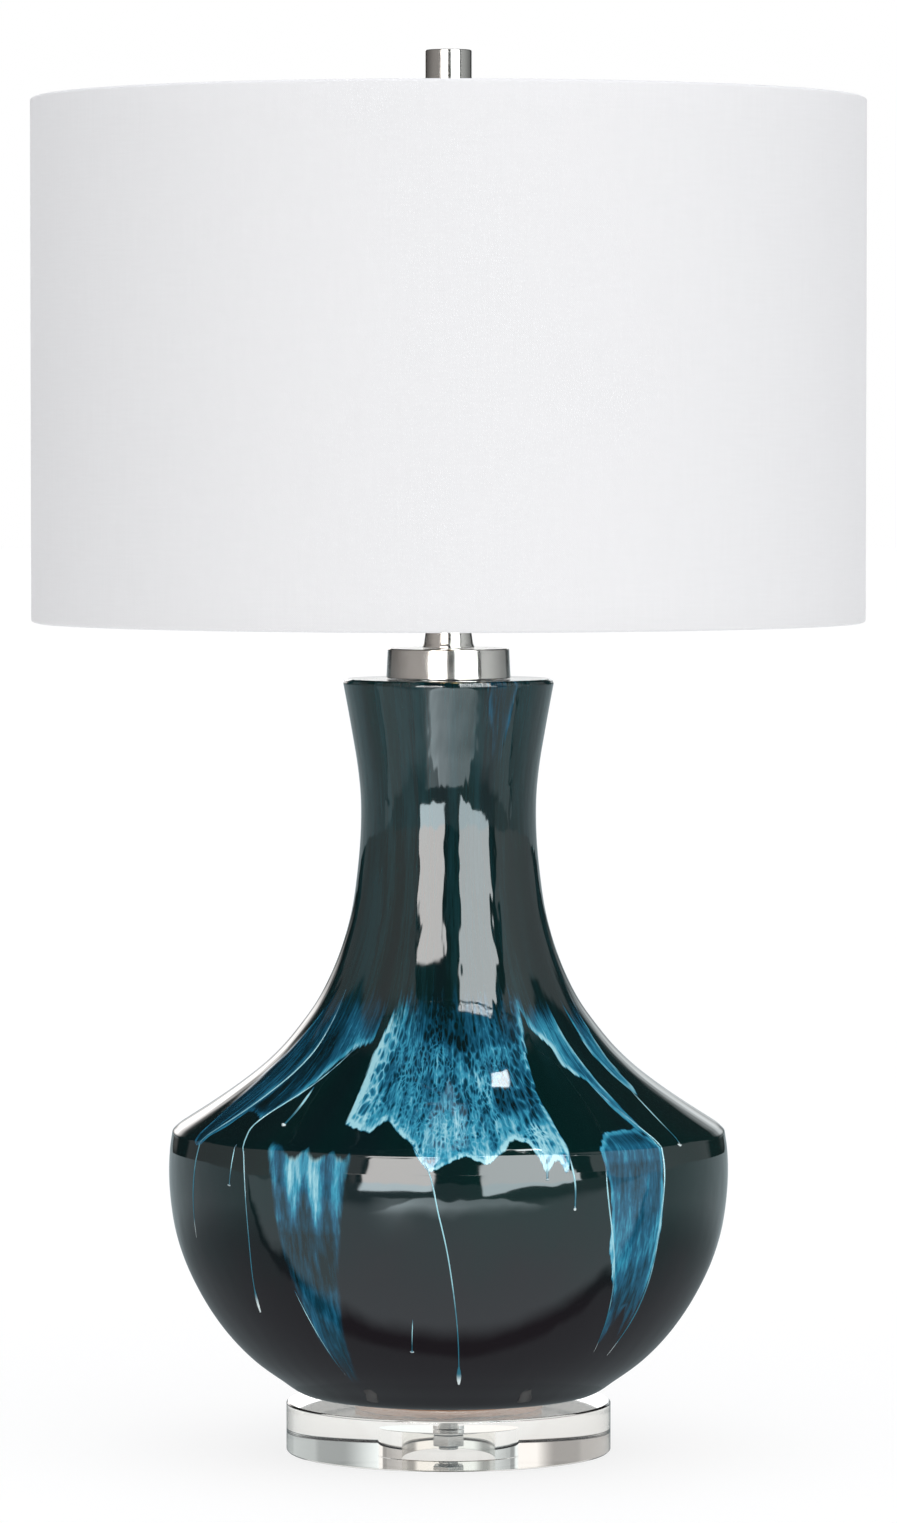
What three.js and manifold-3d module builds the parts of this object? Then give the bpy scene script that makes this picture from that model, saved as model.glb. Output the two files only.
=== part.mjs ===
// Table lamp: a glazed stoneware vase on a clear acrylic disc, with a drum shade on a harp.
// Millimetres, +Z up. The origin is on the table, under the lamp's upright axis.
// The front of the lamp looks along -Y, and the harp stands in the X-Z plane.

import * as THREE from 'three';
import { mergeVertices } from 'three/addons/utils/BufferGeometryUtils.js';
import Module from 'manifold-3d';

const wasm = await Module();
wasm.setup();

// ---------------------------------------------------------------- driving dimensions

const INCH = 25.4;
const GAP = 0.3; // left between neighbours that touch
const HOLE_PLAY = 0.35; // radial play of a rod in its hole
const TURN = 2 * Math.PI;

// Facets round a turned piece, by its size.
const LARGE = 48;
const MEDIUM = 36;
const SMALL = 20;
const TINY = 12;

const BUMPER = { radius: 5, height: 1.2, fromAxis: 66, count: 4 };
const DISC = { radius: 3.125 * INCH, bottom: 1.5, height: 24.5, bevel: 0.8 };
const RECESS = { radius: 23, depth: 13.7 };
const ROD = { radius: 4.8, bore: 3.3, bottom: 4.5, top: 430 };
const ROD_HOLE = ROD.radius + HOLE_PLAY;
const FASTENER = {
  washerRadius: 15.9,
  washerHeight: 1.5,
  lockHeight: 1.1,
  lockSplit: 1.2,
  nutRadius: 8.2,
  nutHeight: 5.4,
};

const VASE = {
  bottom: DISC.bottom + DISC.height + GAP,
  height: 353.4,
  wall: 5.5,
  footRadius: 46,
  footRise: 2.8,
  footRim: 9,
  floor: 8,
  deck: 6,
  lipRadius: 51.3,
};
const INLET = { height: 36, radius: 110.1, tilt: 39.7, boreRadius: 6.2, cordRadius: 4.2 };
const GROMMET = { flangeRadius: 8.4, flangeHeight: 1.6, beyondWall: 2.3 };

const CAP = { height: 14.5, bottomRadius: 30.3, topRadius: 29.6, wall: 1.5 };
const NECK = { height: 24.4, flangeRadius: 12.6, topRadius: 8.9 };
const SADDLE = { thickness: 1.5, width: 12.7, halfSpan: 31, armRise: 7.5, pegRadius: 1.7, pegTop: 13.5 };

const SOCKET = {
  capHeight: 18.7,
  shellRadius: 18.4,
  shellBottom: 14,
  shellTop: 58,
  sheet: 0.6,
  blockRadius: 16.4,
  blockBottom: 12.5,
  blockTop: 33.5,
  flatAt: 13,
  screwShellRadius: 14.3,
  knobHeight: 24,
};
const SET_SCREW = { radius: 1.2, length: 4.6, height: 2.3, holeRadius: 1.6 };
const TERMINAL = { radius: 2.6, height: 2, at: 22 };
const SHAFT = { radius: 1.8, inner: 3, outer: 30, holeRadius: 2.6 };
const KNOB = { radius: 6, ribs: 12, ribDepth: 0.5, inner: 21, outer: 35, boreDepth: 10 };

const BULB = { contactBottom: 35.1, baseRadius: 13.2, baseTop: 27, sheet: 0.6, radius: 30, height: 109.6, glass: 0.8 };

const WIRE = 1.6; // radius of the harp wire
const HARP = { legBottom: 13.8, top: 226, widest: 57, eyeRadius: 6, eyeHeight: 3.4, eyeHole: 2.25 };
const STUD = {
  headRadius: 3.4,
  headHeight: 1.6,
  shankRadius: 1.9,
  collarRadius: 7,
  collarHeight: 2.1,
  threadRadius: 3.05,
  height: 16.4,
};
const SLEEVE = { bottom: 7.8, height: 16, outer: 4.2, inner: 2.6 };

const SHADE = {
  radius: 8 * INCH,
  height: 10 * INCH,
  bottom: 407.4,
  cloth: 0.6,
  fold: 12,
  ringWire: 1.5,
  liner: 0.7,
  arms: 3,
};
const WASHER = { radius: 16, thickness: 1.5, hole: 3.45 };
const FINIAL = { radius: 11.3, neckRadius: 7, neckHeight: 8.6, height: 33.6, boreDepth: 16.8, boreRadius: 5.05 };
const INSERT = { outer: 4.7, inner: 3.4, height: 16.2 };

// Heights above the table where the groups of pieces start.
const CAP_AT = VASE.bottom + VASE.height + GAP;
const NECK_AT = CAP_AT + CAP.height + GAP;
const SADDLE_AT = NECK_AT + NECK.height + GAP;
const SOCKET_AT = SADDLE_AT + SADDLE.thickness + GAP;
const STUD_COLLAR = HARP.top + HARP.eyeHeight / 2 + GAP;
const WASHER_AT = SADDLE_AT + STUD_COLLAR + STUD.collarHeight + GAP;
const FINIAL_AT = WASHER_AT + WASHER.thickness + GAP;

// ---------------------------------------------------------------- finishes

const FINISHES = {
  nickel: { color: 0x9d9a94, roughness: 0.16, metalness: 1 },
  zinc: { color: 0xb9bbbd, roughness: 0.35, metalness: 1 },
  brass: { color: 0xc9a656, roughness: 0.3, metalness: 1 },
  acrylic: { color: 0xeef1f0, roughness: 0.03, metalness: 0 },
  rubber: { color: 0xdfe3e2, roughness: 0.5, metalness: 0 },
  glaze: { color: 0x0e2528, roughness: 0.08, metalness: 0 },
  cloth: { color: 0xf1f1f4, roughness: 0.9, metalness: 0 },
  styrene: { color: 0xf7f7f5, roughness: 0.45, metalness: 0 },
  whiteWire: { color: 0xe8e8e6, roughness: 0.4, metalness: 0.2 },
  blackPlastic: { color: 0x1b1a1a, roughness: 0.4, metalness: 0 },
  fibre: { color: 0xb89b6c, roughness: 0.85, metalness: 0 },
  aluminium: { color: 0xc6c8ca, roughness: 0.3, metalness: 1 },
  frostedGlass: { color: 0xf8f8f4, roughness: 0.25, metalness: 0 },
};

// ---------------------------------------------------------------- helpers

// A named piece with its own material.
function piece(name, finish, geometry) {
  const mesh = new THREE.Mesh(geometry, new THREE.MeshStandardMaterial(FINISHES[finish]));
  mesh.name = name;
  return mesh;
}

// A group of pieces that starts at a height on the lamp's axis.
function groupAt(height, ...pieces) {
  const group = new THREE.Group();
  group.position.z = height;
  group.add(...pieces);
  return group;
}

// A solid turned about the Z axis from [radius, height] points, listed anticlockwise.
// The outline either runs from the axis to the axis or is closed here.
function turned(outline, facets) {
  const points = outline.map(([radius, height]) => new THREE.Vector2(radius, height));
  const onAxis = points[0].x === 0 && points[points.length - 1].x === 0;
  if (!onAxis) {
    points.push(points[0].clone());
  }
  return new THREE.LatheGeometry(points, facets).rotateX(Math.PI / 2);
}

// A flat ring with a square section.
function ring(inner, outer, height, facets) {
  return turned([[inner, 0], [outer, 0], [outer, height], [inner, height]], facets);
}

// An upright cylinder that starts at z = 0.
function cylinder(radius, height, facets) {
  const shape = new THREE.CylinderGeometry(radius, radius, height, facets);
  return shape.rotateX(Math.PI / 2).translate(0, 0, height / 2);
}

// A round wire along a curve.
function wire(curve, radius, sides, steps) {
  const section = new THREE.Shape();
  section.absarc(0, 0, radius, 0, TURN);
  const outline = new THREE.Shape(section.getSpacedPoints(sides).slice(0, sides));
  return new THREE.ExtrudeGeometry(outline, { steps, extrudePath: curve, curveSegments: 1 });
}

// A plate drawn in the X-Z plane, with its thickness centred on Y.
function plateXZ(shape, thickness) {
  const solid = new THREE.ExtrudeGeometry(shape, { depth: thickness, bevelEnabled: false, curveSegments: 4 });
  return solid.translate(0, 0, -thickness / 2).rotateX(Math.PI / 2);
}

// A closed mesh as a solid that can be joined and cut.
function solid(geometry) {
  const bare = geometry.clone();
  bare.deleteAttribute('normal');
  bare.deleteAttribute('uv');
  const merged = mergeVertices(bare);
  const corners = merged.index.array;
  const kept = [];
  for (let i = 0; i < corners.length; i += 3) {
    const [a, b, c] = corners.slice(i, i + 3);
    if (a !== b && b !== c && c !== a) {
      kept.push(a, b, c);
    }
  }
  return new wasm.Manifold(new wasm.Mesh({
    numProp: 3,
    vertProperties: new Float32Array(merged.attributes.position.array),
    triVerts: new Uint32Array(kept),
  }));
}

// The mesh of a solid.
function meshed(body) {
  const mesh = body.getMesh();
  const geometry = new THREE.BufferGeometry();
  geometry.setAttribute('position', new THREE.BufferAttribute(mesh.vertProperties, 3));
  geometry.setIndex(new THREE.BufferAttribute(mesh.triVerts, 1));
  geometry.computeVertexNormals();
  return geometry;
}

// A shape with others cut out of it.
function cut(geometry, ...cutters) {
  return meshed(cutters.reduce((body, cutter) => body.subtract(solid(cutter)), solid(geometry)));
}

// A shape with others joined to it.
function join(geometry, ...others) {
  return meshed(others.reduce((body, other) => body.add(solid(other)), solid(geometry)));
}

// Points along a smooth curve through [radius, height] pairs.
function smooth(pairs, steps) {
  const curve = new THREE.SplineCurve(pairs.map(([radius, height]) => new THREE.Vector2(radius, height)));
  return curve.getPoints(steps).map((point) => [point.x, point.y]);
}

// The points of an outline moved inwards by a wall's thickness, in reverse order.
function innerWall(outline, wall) {
  const inner = outline.slice(1, -1).map(([radius, height], i) => {
    const along = new THREE.Vector2(outline[i + 2][0] - outline[i][0], outline[i + 2][1] - outline[i][1]);
    along.normalize();
    return [radius - wall * along.y, height + wall * along.x];
  });
  return inner.reverse();
}

// ---------------------------------------------------------------- stand

function bumperFeet() {
  const outline = [[0, 0], [BUMPER.radius, 0], [BUMPER.radius - 1, BUMPER.height], [0, BUMPER.height]];
  return Array.from({ length: BUMPER.count }, (_, i) => {
    const angle = ((i + 0.5) / BUMPER.count) * TURN;
    const foot = piece(`bumper_foot_${i + 1}`, 'rubber', turned(outline, TINY));
    foot.position.set(BUMPER.fromAxis * Math.cos(angle), BUMPER.fromAxis * Math.sin(angle), 0);
    return foot;
  });
}

// The clear disc, with a recess in its underside for the rod's nut.
function acrylicBase() {
  const { radius, height, bevel } = DISC;
  const disc = piece('acrylic_base', 'acrylic', turned([
    [RECESS.radius, 0],
    [radius - bevel, 0],
    [radius, bevel],
    [radius, height - bevel],
    [radius - bevel, height],
    [ROD_HOLE, height],
    [ROD_HOLE, RECESS.depth],
    [RECESS.radius, RECESS.depth],
  ], LARGE));
  disc.position.z = DISC.bottom;
  return disc;
}

// The hollow rod that holds the whole lamp together.
function threadedRod() {
  const rod = piece('threaded_rod', 'zinc', ring(ROD.bore, ROD.radius, ROD.top - ROD.bottom, SMALL));
  rod.position.z = ROD.bottom;
  return rod;
}

// The flat washer, split lock washer and hex nut in the recess, from the top down.
function baseFasteners() {
  const { washerRadius, washerHeight, lockHeight, lockSplit, nutRadius, nutHeight } = FASTENER;
  const washer = piece('base_washer', 'zinc', ring(ROD_HOLE, washerRadius, washerHeight, SMALL));
  const lockRing = ring(ROD_HOLE, nutRadius, lockHeight, SMALL);
  const split = new THREE.BoxGeometry(6, lockSplit, 4).translate(7, 0, 0);
  const lockWasher = piece('base_lock_washer', 'zinc', cut(lockRing, split));
  const hexagon = cylinder(nutRadius, nutHeight, 6);
  const nut = piece('base_nut', 'zinc', cut(hexagon, cylinder(ROD_HOLE, 20, SMALL).translate(0, 0, -5)));
  const ceiling = DISC.bottom + RECESS.depth;
  washer.position.z = ceiling - GAP - washerHeight;
  lockWasher.position.z = washer.position.z - GAP - lockHeight;
  nut.position.z = lockWasher.position.z - GAP - nutHeight;
  return [washer, lockWasher, nut];
}

// ---------------------------------------------------------------- vase

// The outside of the belly, from the turn under it to the shoulder.
function bellyCurve(steps) {
  return smooth([
    [72, 4.5],
    [93.9, 19.3],
    [112.1, 38.7],
    [126.6, 63.6],
    [134.4, 88.2],
    [136.7, 115.2],
    [135.1, 131.9],
  ], steps);
}

// The outside of the neck, from the shoulder up to the lip.
function neckCurve(steps) {
  return smooth([
    [129.1, 137.3],
    [106.7, 152],
    [88, 166.7],
    [74.5, 181.4],
    [61.3, 200.7],
    [51.1, 225.5],
    [45.7, 249.7],
    [42.7, 284.2],
    [44.1, 308.7],
    [48, 332.7],
    [VASE.lipRadius, 350.7],
  ], steps);
}

// A hollow turned vase with a foot ring below and a closed deck with a rod hole on top.
function vase() {
  const { height, footRadius, footRise, footRim, lipRadius } = VASE;
  const foot = [
    [ROD_HOLE, footRise],
    [footRadius - footRim - 1, footRise],
    [footRadius - footRim, 0],
    [footRadius, 0],
    [footRadius, footRise],
    [60, footRise + 0.3],
  ];
  const shoulder = [[133.2, 134.3]];
  const lip = [
    [lipRadius - 0.6, height - 0.8],
    [lipRadius - 2.4, height],
    [ROD_HOLE, height],
  ];
  const insideNeck = innerWall(neckCurve(9), VASE.wall).filter(([, z]) => z < height - VASE.deck - 4);
  const insideBelly = innerWall(bellyCurve(7), VASE.wall).filter(([, z]) => z > VASE.floor + 4);
  const underDeck = height - VASE.deck;
  const outline = [
    ...foot,
    ...bellyCurve(11),
    ...shoulder,
    ...neckCurve(16),
    ...lip,
    [ROD_HOLE, underDeck],
    [lipRadius - VASE.wall - 2, underDeck],
    ...insideNeck,
    ...insideBelly,
    [68, VASE.floor],
    [ROD_HOLE, VASE.floor],
  ];
  const drill = cylinder(INLET.boreRadius, 40, TINY).translate(0, 0, -20);
  return piece('vase', 'glaze', cut(turned(outline, MEDIUM), onInlet(drill)));
}

// Puts a shape that is drawn along +Z on the axis of the cord inlet, pointing out of the vase.
function onInlet(geometry) {
  const tilt = THREE.MathUtils.degToRad(90 + INLET.tilt);
  return geometry.rotateX(-tilt).translate(0, INLET.radius, INLET.height);
}

// A rubber grommet in the back of the belly, where the cord goes in.
function cordGrommet() {
  const { flangeRadius, flangeHeight, beyondWall } = GROMMET;
  const inside = -VASE.wall - beyondWall;
  const outside = 1; // clear of the curved wall
  const sleeve = INLET.boreRadius - 0.5;
  return piece('cord_grommet', 'blackPlastic', onInlet(turned([
    [INLET.cordRadius, inside],
    [sleeve, inside],
    [sleeve, outside],
    [flangeRadius, outside],
    [flangeRadius - 0.4, outside + flangeHeight],
    [INLET.cordRadius, outside + flangeHeight],
  ], TINY)));
}

// ---------------------------------------------------------------- nickel fittings

// The cup-shaped cap on the vase's mouth.
function vaseCap() {
  const { height, bottomRadius, topRadius, wall } = CAP;
  return piece('vase_cap', 'nickel', turned([
    [bottomRadius - wall, 0],
    [bottomRadius, 0],
    [topRadius, height - 0.5],
    [topRadius - 0.5, height],
    [ROD_HOLE, height],
    [ROD_HOLE, height - wall],
    [topRadius - wall, height - wall],
  ], SMALL));
}

// The tapered neck between the cap and the harp saddle.
function neck() {
  const { height, flangeRadius, topRadius } = NECK;
  return piece('neck', 'nickel', turned([
    [ROD_HOLE, 0],
    [flangeRadius, 0],
    [flangeRadius, 0.6],
    [flangeRadius - 0.8, 2.9],
    [topRadius, height],
    [ROD_HOLE, height],
  ], SMALL));
}

// The strip under the socket, bent up at both ends, with a peg for each harp leg.
function harpSaddle() {
  const { thickness, width, halfSpan, armRise, pegRadius, pegTop } = SADDLE;
  const outer = halfSpan + thickness / 2;
  const inner = halfSpan - thickness / 2;
  const bend = 3;
  const strip = new THREE.Shape();
  strip.moveTo(-outer, armRise);
  strip.lineTo(-outer, bend);
  strip.absarc(-outer + bend, bend, bend, Math.PI, 1.5 * Math.PI);
  strip.lineTo(outer - bend, 0);
  strip.absarc(outer - bend, bend, bend, 1.5 * Math.PI, TURN);
  strip.lineTo(outer, armRise);
  strip.lineTo(inner, armRise);
  strip.absarc(outer - bend, bend, bend - thickness, TURN, 1.5 * Math.PI, true);
  strip.absarc(-outer + bend, bend, bend - thickness, 1.5 * Math.PI, Math.PI, true);
  strip.lineTo(-inner, armRise);
  const rodHole = cylinder(ROD_HOLE, 10, SMALL).translate(0, 0, -5);
  const pegs = [-halfSpan, halfSpan].map((x) => (
    cylinder(pegRadius, pegTop - armRise + 1, TINY).translate(x, 0, armRise - 1)
  ));
  return piece('harp_saddle', 'nickel', join(cut(plateXZ(strip, width), rodHole), ...pegs));
}

// ---------------------------------------------------------------- socket

// A hole from the axis out through the socket's front, at the height of the switch shaft.
function shaftHole(radius, inner, outer) {
  const hole = cylinder(radius, outer - inner, TINY).rotateX(Math.PI / 2);
  return hole.translate(0, -inner, SOCKET.knobHeight);
}

// The spun cap that screws on to the rod.
function socketCap() {
  const bowl = turned([
    [ROD_HOLE, 0],
    [8.4, 0],
    [8.8, 4.2],
    [13, 6.8],
    [18.4, 10.6],
    [19.8, 13],
    [20, SOCKET.capHeight],
    [19.3, SOCKET.capHeight],
    [19, 13.4],
    [17.8, 11.3],
    [12.6, 7.8],
    [8.2, 5.4],
    [ROD_HOLE, 5.4],
  ], SMALL);
  const { holeRadius, height } = SET_SCREW;
  const screwHole = cylinder(holeRadius, 10, TINY).rotateY(Math.PI / 2).translate(0, 0, height);
  return piece('socket_cap', 'brass', cut(bowl, screwHole));
}

function socketSetScrew() {
  const { radius, length, height } = SET_SCREW;
  const screw = cylinder(radius, length, TINY).rotateY(Math.PI / 2);
  return piece('socket_set_screw', 'zinc', screw.translate(ROD_HOLE + 0.1, 0, height));
}

// The outer shell, drawn in a little at its mouth.
function socketShell() {
  const { shellRadius, shellBottom, shellTop, sheet } = SOCKET;
  const tube = turned([
    [shellRadius - sheet, shellBottom],
    [shellRadius, shellBottom],
    [shellRadius, shellTop - 4],
    [shellRadius - 0.8, shellTop],
    [shellRadius - 0.8 - sheet, shellTop],
    [shellRadius - sheet, shellTop - 4.2],
  ], SMALL);
  return piece('socket_shell', 'brass', cut(tube, shaftHole(SHAFT.holeRadius, 10, 25)));
}

// The fibre sleeve between the shell and the live parts.
function socketLiner() {
  const outer = SOCKET.shellRadius - SOCKET.sheet - GAP;
  const sleeve = ring(outer - 0.5, outer, 38.5, SMALL).translate(0, 0, SOCKET.shellBottom + 0.5);
  return piece('socket_liner', 'fibre', cut(sleeve, shaftHole(SHAFT.holeRadius, 10, 25)));
}

// The moulded block that carries the contacts and the switch.
function socketInterior() {
  const { blockRadius, blockBottom, blockTop, flatAt } = SOCKET;
  const block = cylinder(blockRadius, blockTop - blockBottom, SMALL).translate(0, 0, blockBottom);
  const sides = [-1, 1].map((side) => (
    new THREE.BoxGeometry(10, 50, 60).translate(side * (flatAt + 5), 0, 30)
  ));
  const shaftBore = shaftHole(SHAFT.radius + HOLE_PLAY, SHAFT.inner - 0.5, 25);
  return piece('socket_interior', 'blackPlastic', cut(block, ...sides, shaftBore));
}

// One screw on each side of the block for the two wires of the cord.
function terminalScrews() {
  return [['terminal_screw_hot', 'brass', 1], ['terminal_screw_neutral', 'zinc', -1]].map(([name, finish, side]) => {
    const screw = piece(name, finish, cylinder(TERMINAL.radius, TERMINAL.height, TINY));
    screw.rotation.y = (side * Math.PI) / 2;
    screw.position.set(side * (SOCKET.flatAt + GAP), 0, TERMINAL.at);
    return screw;
  });
}

// The threaded sleeve that takes the bulb, drawn plain.
function screwShell() {
  const radius = SOCKET.screwShellRadius;
  const bottom = SOCKET.blockTop + GAP;
  return piece('screw_shell', 'brass', turned([
    [9.5, bottom],
    [radius, bottom],
    [radius, 54],
    [radius - 0.5, 54],
    [radius - 0.5, bottom + 0.5],
    [9.5, bottom + 0.5],
  ], SMALL));
}

// The springy tongue that meets the bulb's contact.
function centerContact() {
  const bottom = SOCKET.blockTop + GAP;
  const tongue = new THREE.Shape();
  tongue.moveTo(-6.5, bottom);
  tongue.lineTo(-2, bottom);
  tongue.lineTo(5, bottom + 0.6);
  tongue.lineTo(5, bottom + 1);
  tongue.lineTo(-2, bottom + 0.4);
  tongue.lineTo(-6.5, bottom + 0.4);
  return piece('center_contact', 'brass', plateXZ(tongue, 5));
}

// ---------------------------------------------------------------- switch

function switchShaft() {
  return piece('switch_shaft', 'blackPlastic', shaftHole(SHAFT.radius, SHAFT.inner, SHAFT.outer));
}

// A ribbed knob, drawn along +Z and turned to point forwards.
function switchKnob() {
  const { radius, ribs, ribDepth, inner, outer, boreDepth } = KNOB;
  const rim = new THREE.Shape(Array.from({ length: 2 * ribs }, (_, i) => {
    const angle = (i / (2 * ribs)) * TURN;
    const reach = i % 2 ? radius - ribDepth : radius;
    return new THREE.Vector2(reach * Math.cos(angle), reach * Math.sin(angle));
  }));
  const grip = new THREE.ExtrudeGeometry(rim, { depth: outer - inner, bevelEnabled: false });
  const bore = cylinder(SHAFT.radius + HOLE_PLAY, boreDepth + 5, TINY).translate(0, 0, -5);
  const knob = piece('switch_knob', 'blackPlastic', cut(grip, bore));
  knob.rotation.x = Math.PI / 2;
  knob.position.set(0, -inner, SOCKET.knobHeight);
  return knob;
}

// ---------------------------------------------------------------- bulb

// The bulb's centre contact, with the cone of its insulator.
function bulbContact() {
  return piece('bulb_contact', 'brass', turned([
    [0, 0],
    [4.3, 0],
    [4.6, 1.4],
    [9, 4.2],
    [9, 5],
    [0, 5],
  ], SMALL));
}

function bulbBase() {
  const { baseRadius: radius, baseTop, sheet } = BULB;
  return piece('bulb_base', 'aluminium', turned([
    [3, 5.3],
    [9, 5.3],
    [radius, 8.8],
    [radius, baseTop],
    [radius - sheet, baseTop],
    [radius - sheet, 9.2],
    [8.8, 6],
    [3, 6],
  ], SMALL));
}

// The glass, open at its neck inside the base.
function bulbEnvelope() {
  const neckRadius = BULB.baseRadius - 1;
  const outside = [
    [neckRadius, 10.5],
    [neckRadius, 28],
    ...smooth([
      [14, 33],
      [20, 48],
      [27.5, 62],
      [BULB.radius, 76],
      [27.5, 91],
      [18, 103.5],
      [0, BULB.height],
    ], 9),
  ];
  const inside = innerWall(outside, BULB.glass);
  return piece('bulb_envelope', 'frostedGlass', turned([
    ...outside,
    [0, BULB.height - BULB.glass],
    ...inside,
    [neckRadius - BULB.glass, 10.5],
    [neckRadius, 10.5],
  ], SMALL));
}

// ---------------------------------------------------------------- harp

// One wire bent from leg to leg, with a flattened eye at its top.
function harpWire() {
  const { legBottom, top, widest, eyeRadius, eyeHeight, eyeHole } = HARP;
  const leg = SADDLE.halfSpan;
  const half = [
    [leg, legBottom],
    [leg, 24],
    [leg, 34],
    [36.5, 46],
    [47, 70],
    [widest - 1, 100],
    [widest, 130],
    [52, 168],
    [38, 200],
    [23, 217],
    [10, top],
    [0, top],
  ];
  const otherHalf = half.slice(0, -1).reverse().map(([x, z]) => [-x, z]);
  const points = [...half, ...otherHalf].map(([x, z]) => new THREE.Vector3(x, 0, z));
  const loop = wire(new THREE.CatmullRomCurve3(points), WIRE, 8, 56);
  const eye = cylinder(eyeRadius, eyeHeight, SMALL).translate(0, 0, top - eyeHeight / 2);
  const hole = cylinder(eyeHole, 20, TINY).translate(0, 0, top - 10);
  return piece('harp_wire', 'nickel', cut(join(loop, eye), hole));
}

// The swivel stud, riveted in the eye, that the shade sits and turns on.
function harpStud() {
  const { headRadius, headHeight, shankRadius, collarRadius, collarHeight, threadRadius, height } = STUD;
  const underEye = HARP.top - HARP.eyeHeight / 2 - GAP;
  const threadTop = STUD_COLLAR + height;
  return piece('harp_stud', 'brass', turned([
    [0, underEye - headHeight],
    [headRadius - 1, underEye - headHeight],
    [headRadius, underEye - headHeight / 2],
    [headRadius, underEye],
    [shankRadius, underEye],
    [shankRadius, STUD_COLLAR],
    [collarRadius, STUD_COLLAR],
    [collarRadius, STUD_COLLAR + collarHeight],
    [threadRadius, STUD_COLLAR + collarHeight],
    [threadRadius, threadTop - 0.8],
    [threadRadius - 0.8, threadTop],
    [0, threadTop],
  ], SMALL));
}

// The sleeves that lock the harp's legs on the saddle's pegs.
function harpSleeve(side, name) {
  const sleeve = piece(name, 'nickel', ring(SLEEVE.inner, SLEEVE.outer, SLEEVE.height, SMALL));
  sleeve.position.set(side * SADDLE.halfSpan, 0, SLEEVE.bottom);
  return sleeve;
}

// ---------------------------------------------------------------- shade

const RING_RADIUS = SHADE.radius - SHADE.cloth - GAP - SHADE.ringWire;
const RING_DROP = SHADE.cloth + GAP + SHADE.ringWire; // of the rings' centres from the shade's ends
const FOLD_OUTER = RING_RADIUS - SHADE.ringWire - GAP;
const FOLD_INNER = FOLD_OUTER - SHADE.cloth;

// Where the spider arms stand round the axis: one at the back and two towards the front.
const armAngles = Array.from({ length: SHADE.arms }, (_, i) => TURN / 4 + (i / SHADE.arms) * TURN);

// The cloth: a straight wall, turned in over the ring at each end and hemmed down inside.
function shadeFabric() {
  const { radius, height, cloth, fold } = SHADE;
  const wall = radius - cloth;
  const round = 1.1; // of the cloth's turn over each ring
  const skin = turned([
    [FOLD_INNER + round, 0],
    [radius - round, 0],
    [radius, round],
    [radius, height - round],
    [radius - round, height],
    [FOLD_INNER + round, height],
    [FOLD_INNER, height - round],
    [FOLD_INNER, height - fold],
    [FOLD_OUTER, height - fold],
    [FOLD_OUTER, height - cloth],
    [wall, height - cloth],
    [wall, cloth],
    [FOLD_OUTER, cloth],
    [FOLD_OUTER, fold],
    [FOLD_INNER, fold],
    [FOLD_INNER, round],
  ], LARGE);
  const notchHeight = fold + 1 - cloth / 2;
  const notches = armAngles.map((angle) => {
    const notch = new THREE.BoxGeometry(3, 5, notchHeight);
    notch.translate(FOLD_OUTER - 0.5, 0, height - cloth / 2 - notchHeight / 2);
    return notch.rotateZ(angle);
  });
  return piece('shade_fabric', 'cloth', cut(skin, ...notches));
}

// The styrene sheet that stiffens the cloth, between the two rings.
function shadeLiner() {
  const outer = SHADE.radius - SHADE.cloth - GAP;
  const end = RING_DROP + SHADE.ringWire + GAP;
  const tube = ring(outer - SHADE.liner, outer, SHADE.height - 2 * end, LARGE);
  return piece('shade_liner', 'styrene', tube.translate(0, 0, end));
}

function wireRing(name, height) {
  const sides = 6;
  const section = Array.from({ length: sides }, (_, i) => {
    const angle = (i / sides) * TURN;
    return [RING_RADIUS + SHADE.ringWire * Math.cos(angle), height + SHADE.ringWire * Math.sin(angle)];
  });
  return piece(name, 'whiteWire', turned(section, LARGE));
}

function spiderWasher() {
  const washer = piece('spider_washer', 'whiteWire', ring(WASHER.hole, WASHER.radius, WASHER.thickness, 24));
  washer.position.z = WASHER_AT - SHADE.bottom;
  return washer;
}

// Each arm runs flat from the washer, then rises to the top ring.
function spiderArms() {
  const low = WASHER_AT - SHADE.bottom + WASHER.thickness / 2;
  const high = SHADE.height - RING_DROP;
  const reach = RING_RADIUS - SHADE.ringWire - GAP;
  const arm = new THREE.CatmullRomCurve3([
    new THREE.Vector3(WASHER.radius + GAP, 0, low),
    new THREE.Vector3(reach - 60, 0, low),
    new THREE.Vector3(reach - 34, 0, low),
    new THREE.Vector3(reach - 10, 0, high - 0.6),
    new THREE.Vector3(reach, 0, high),
  ], false, 'centripetal');
  return armAngles.map((angle, i) => {
    const spoke = piece(`spider_arm_${i + 1}`, 'whiteWire', wire(arm, SHADE.ringWire, 6, 10));
    spoke.rotation.z = angle;
    return spoke;
  });
}

// ---------------------------------------------------------------- finial

function finial() {
  const { radius, neckRadius, neckHeight, height, boreDepth, boreRadius } = FINIAL;
  const edge = 0.35;
  return piece('finial', 'nickel', turned([
    [0, boreDepth],
    [boreRadius, boreDepth],
    [boreRadius, 0],
    [neckRadius, 0],
    [neckRadius, neckHeight],
    [radius - edge, neckHeight],
    [radius, neckHeight + edge],
    [radius, height - edge],
    [radius - edge, height],
    [0, height],
  ], SMALL));
}

function finialInsert() {
  return piece('finial_insert', 'brass', ring(INSERT.inner, INSERT.outer, INSERT.height, SMALL));
}

// ---------------------------------------------------------------- assembly

const lamp = new THREE.Group();

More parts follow.
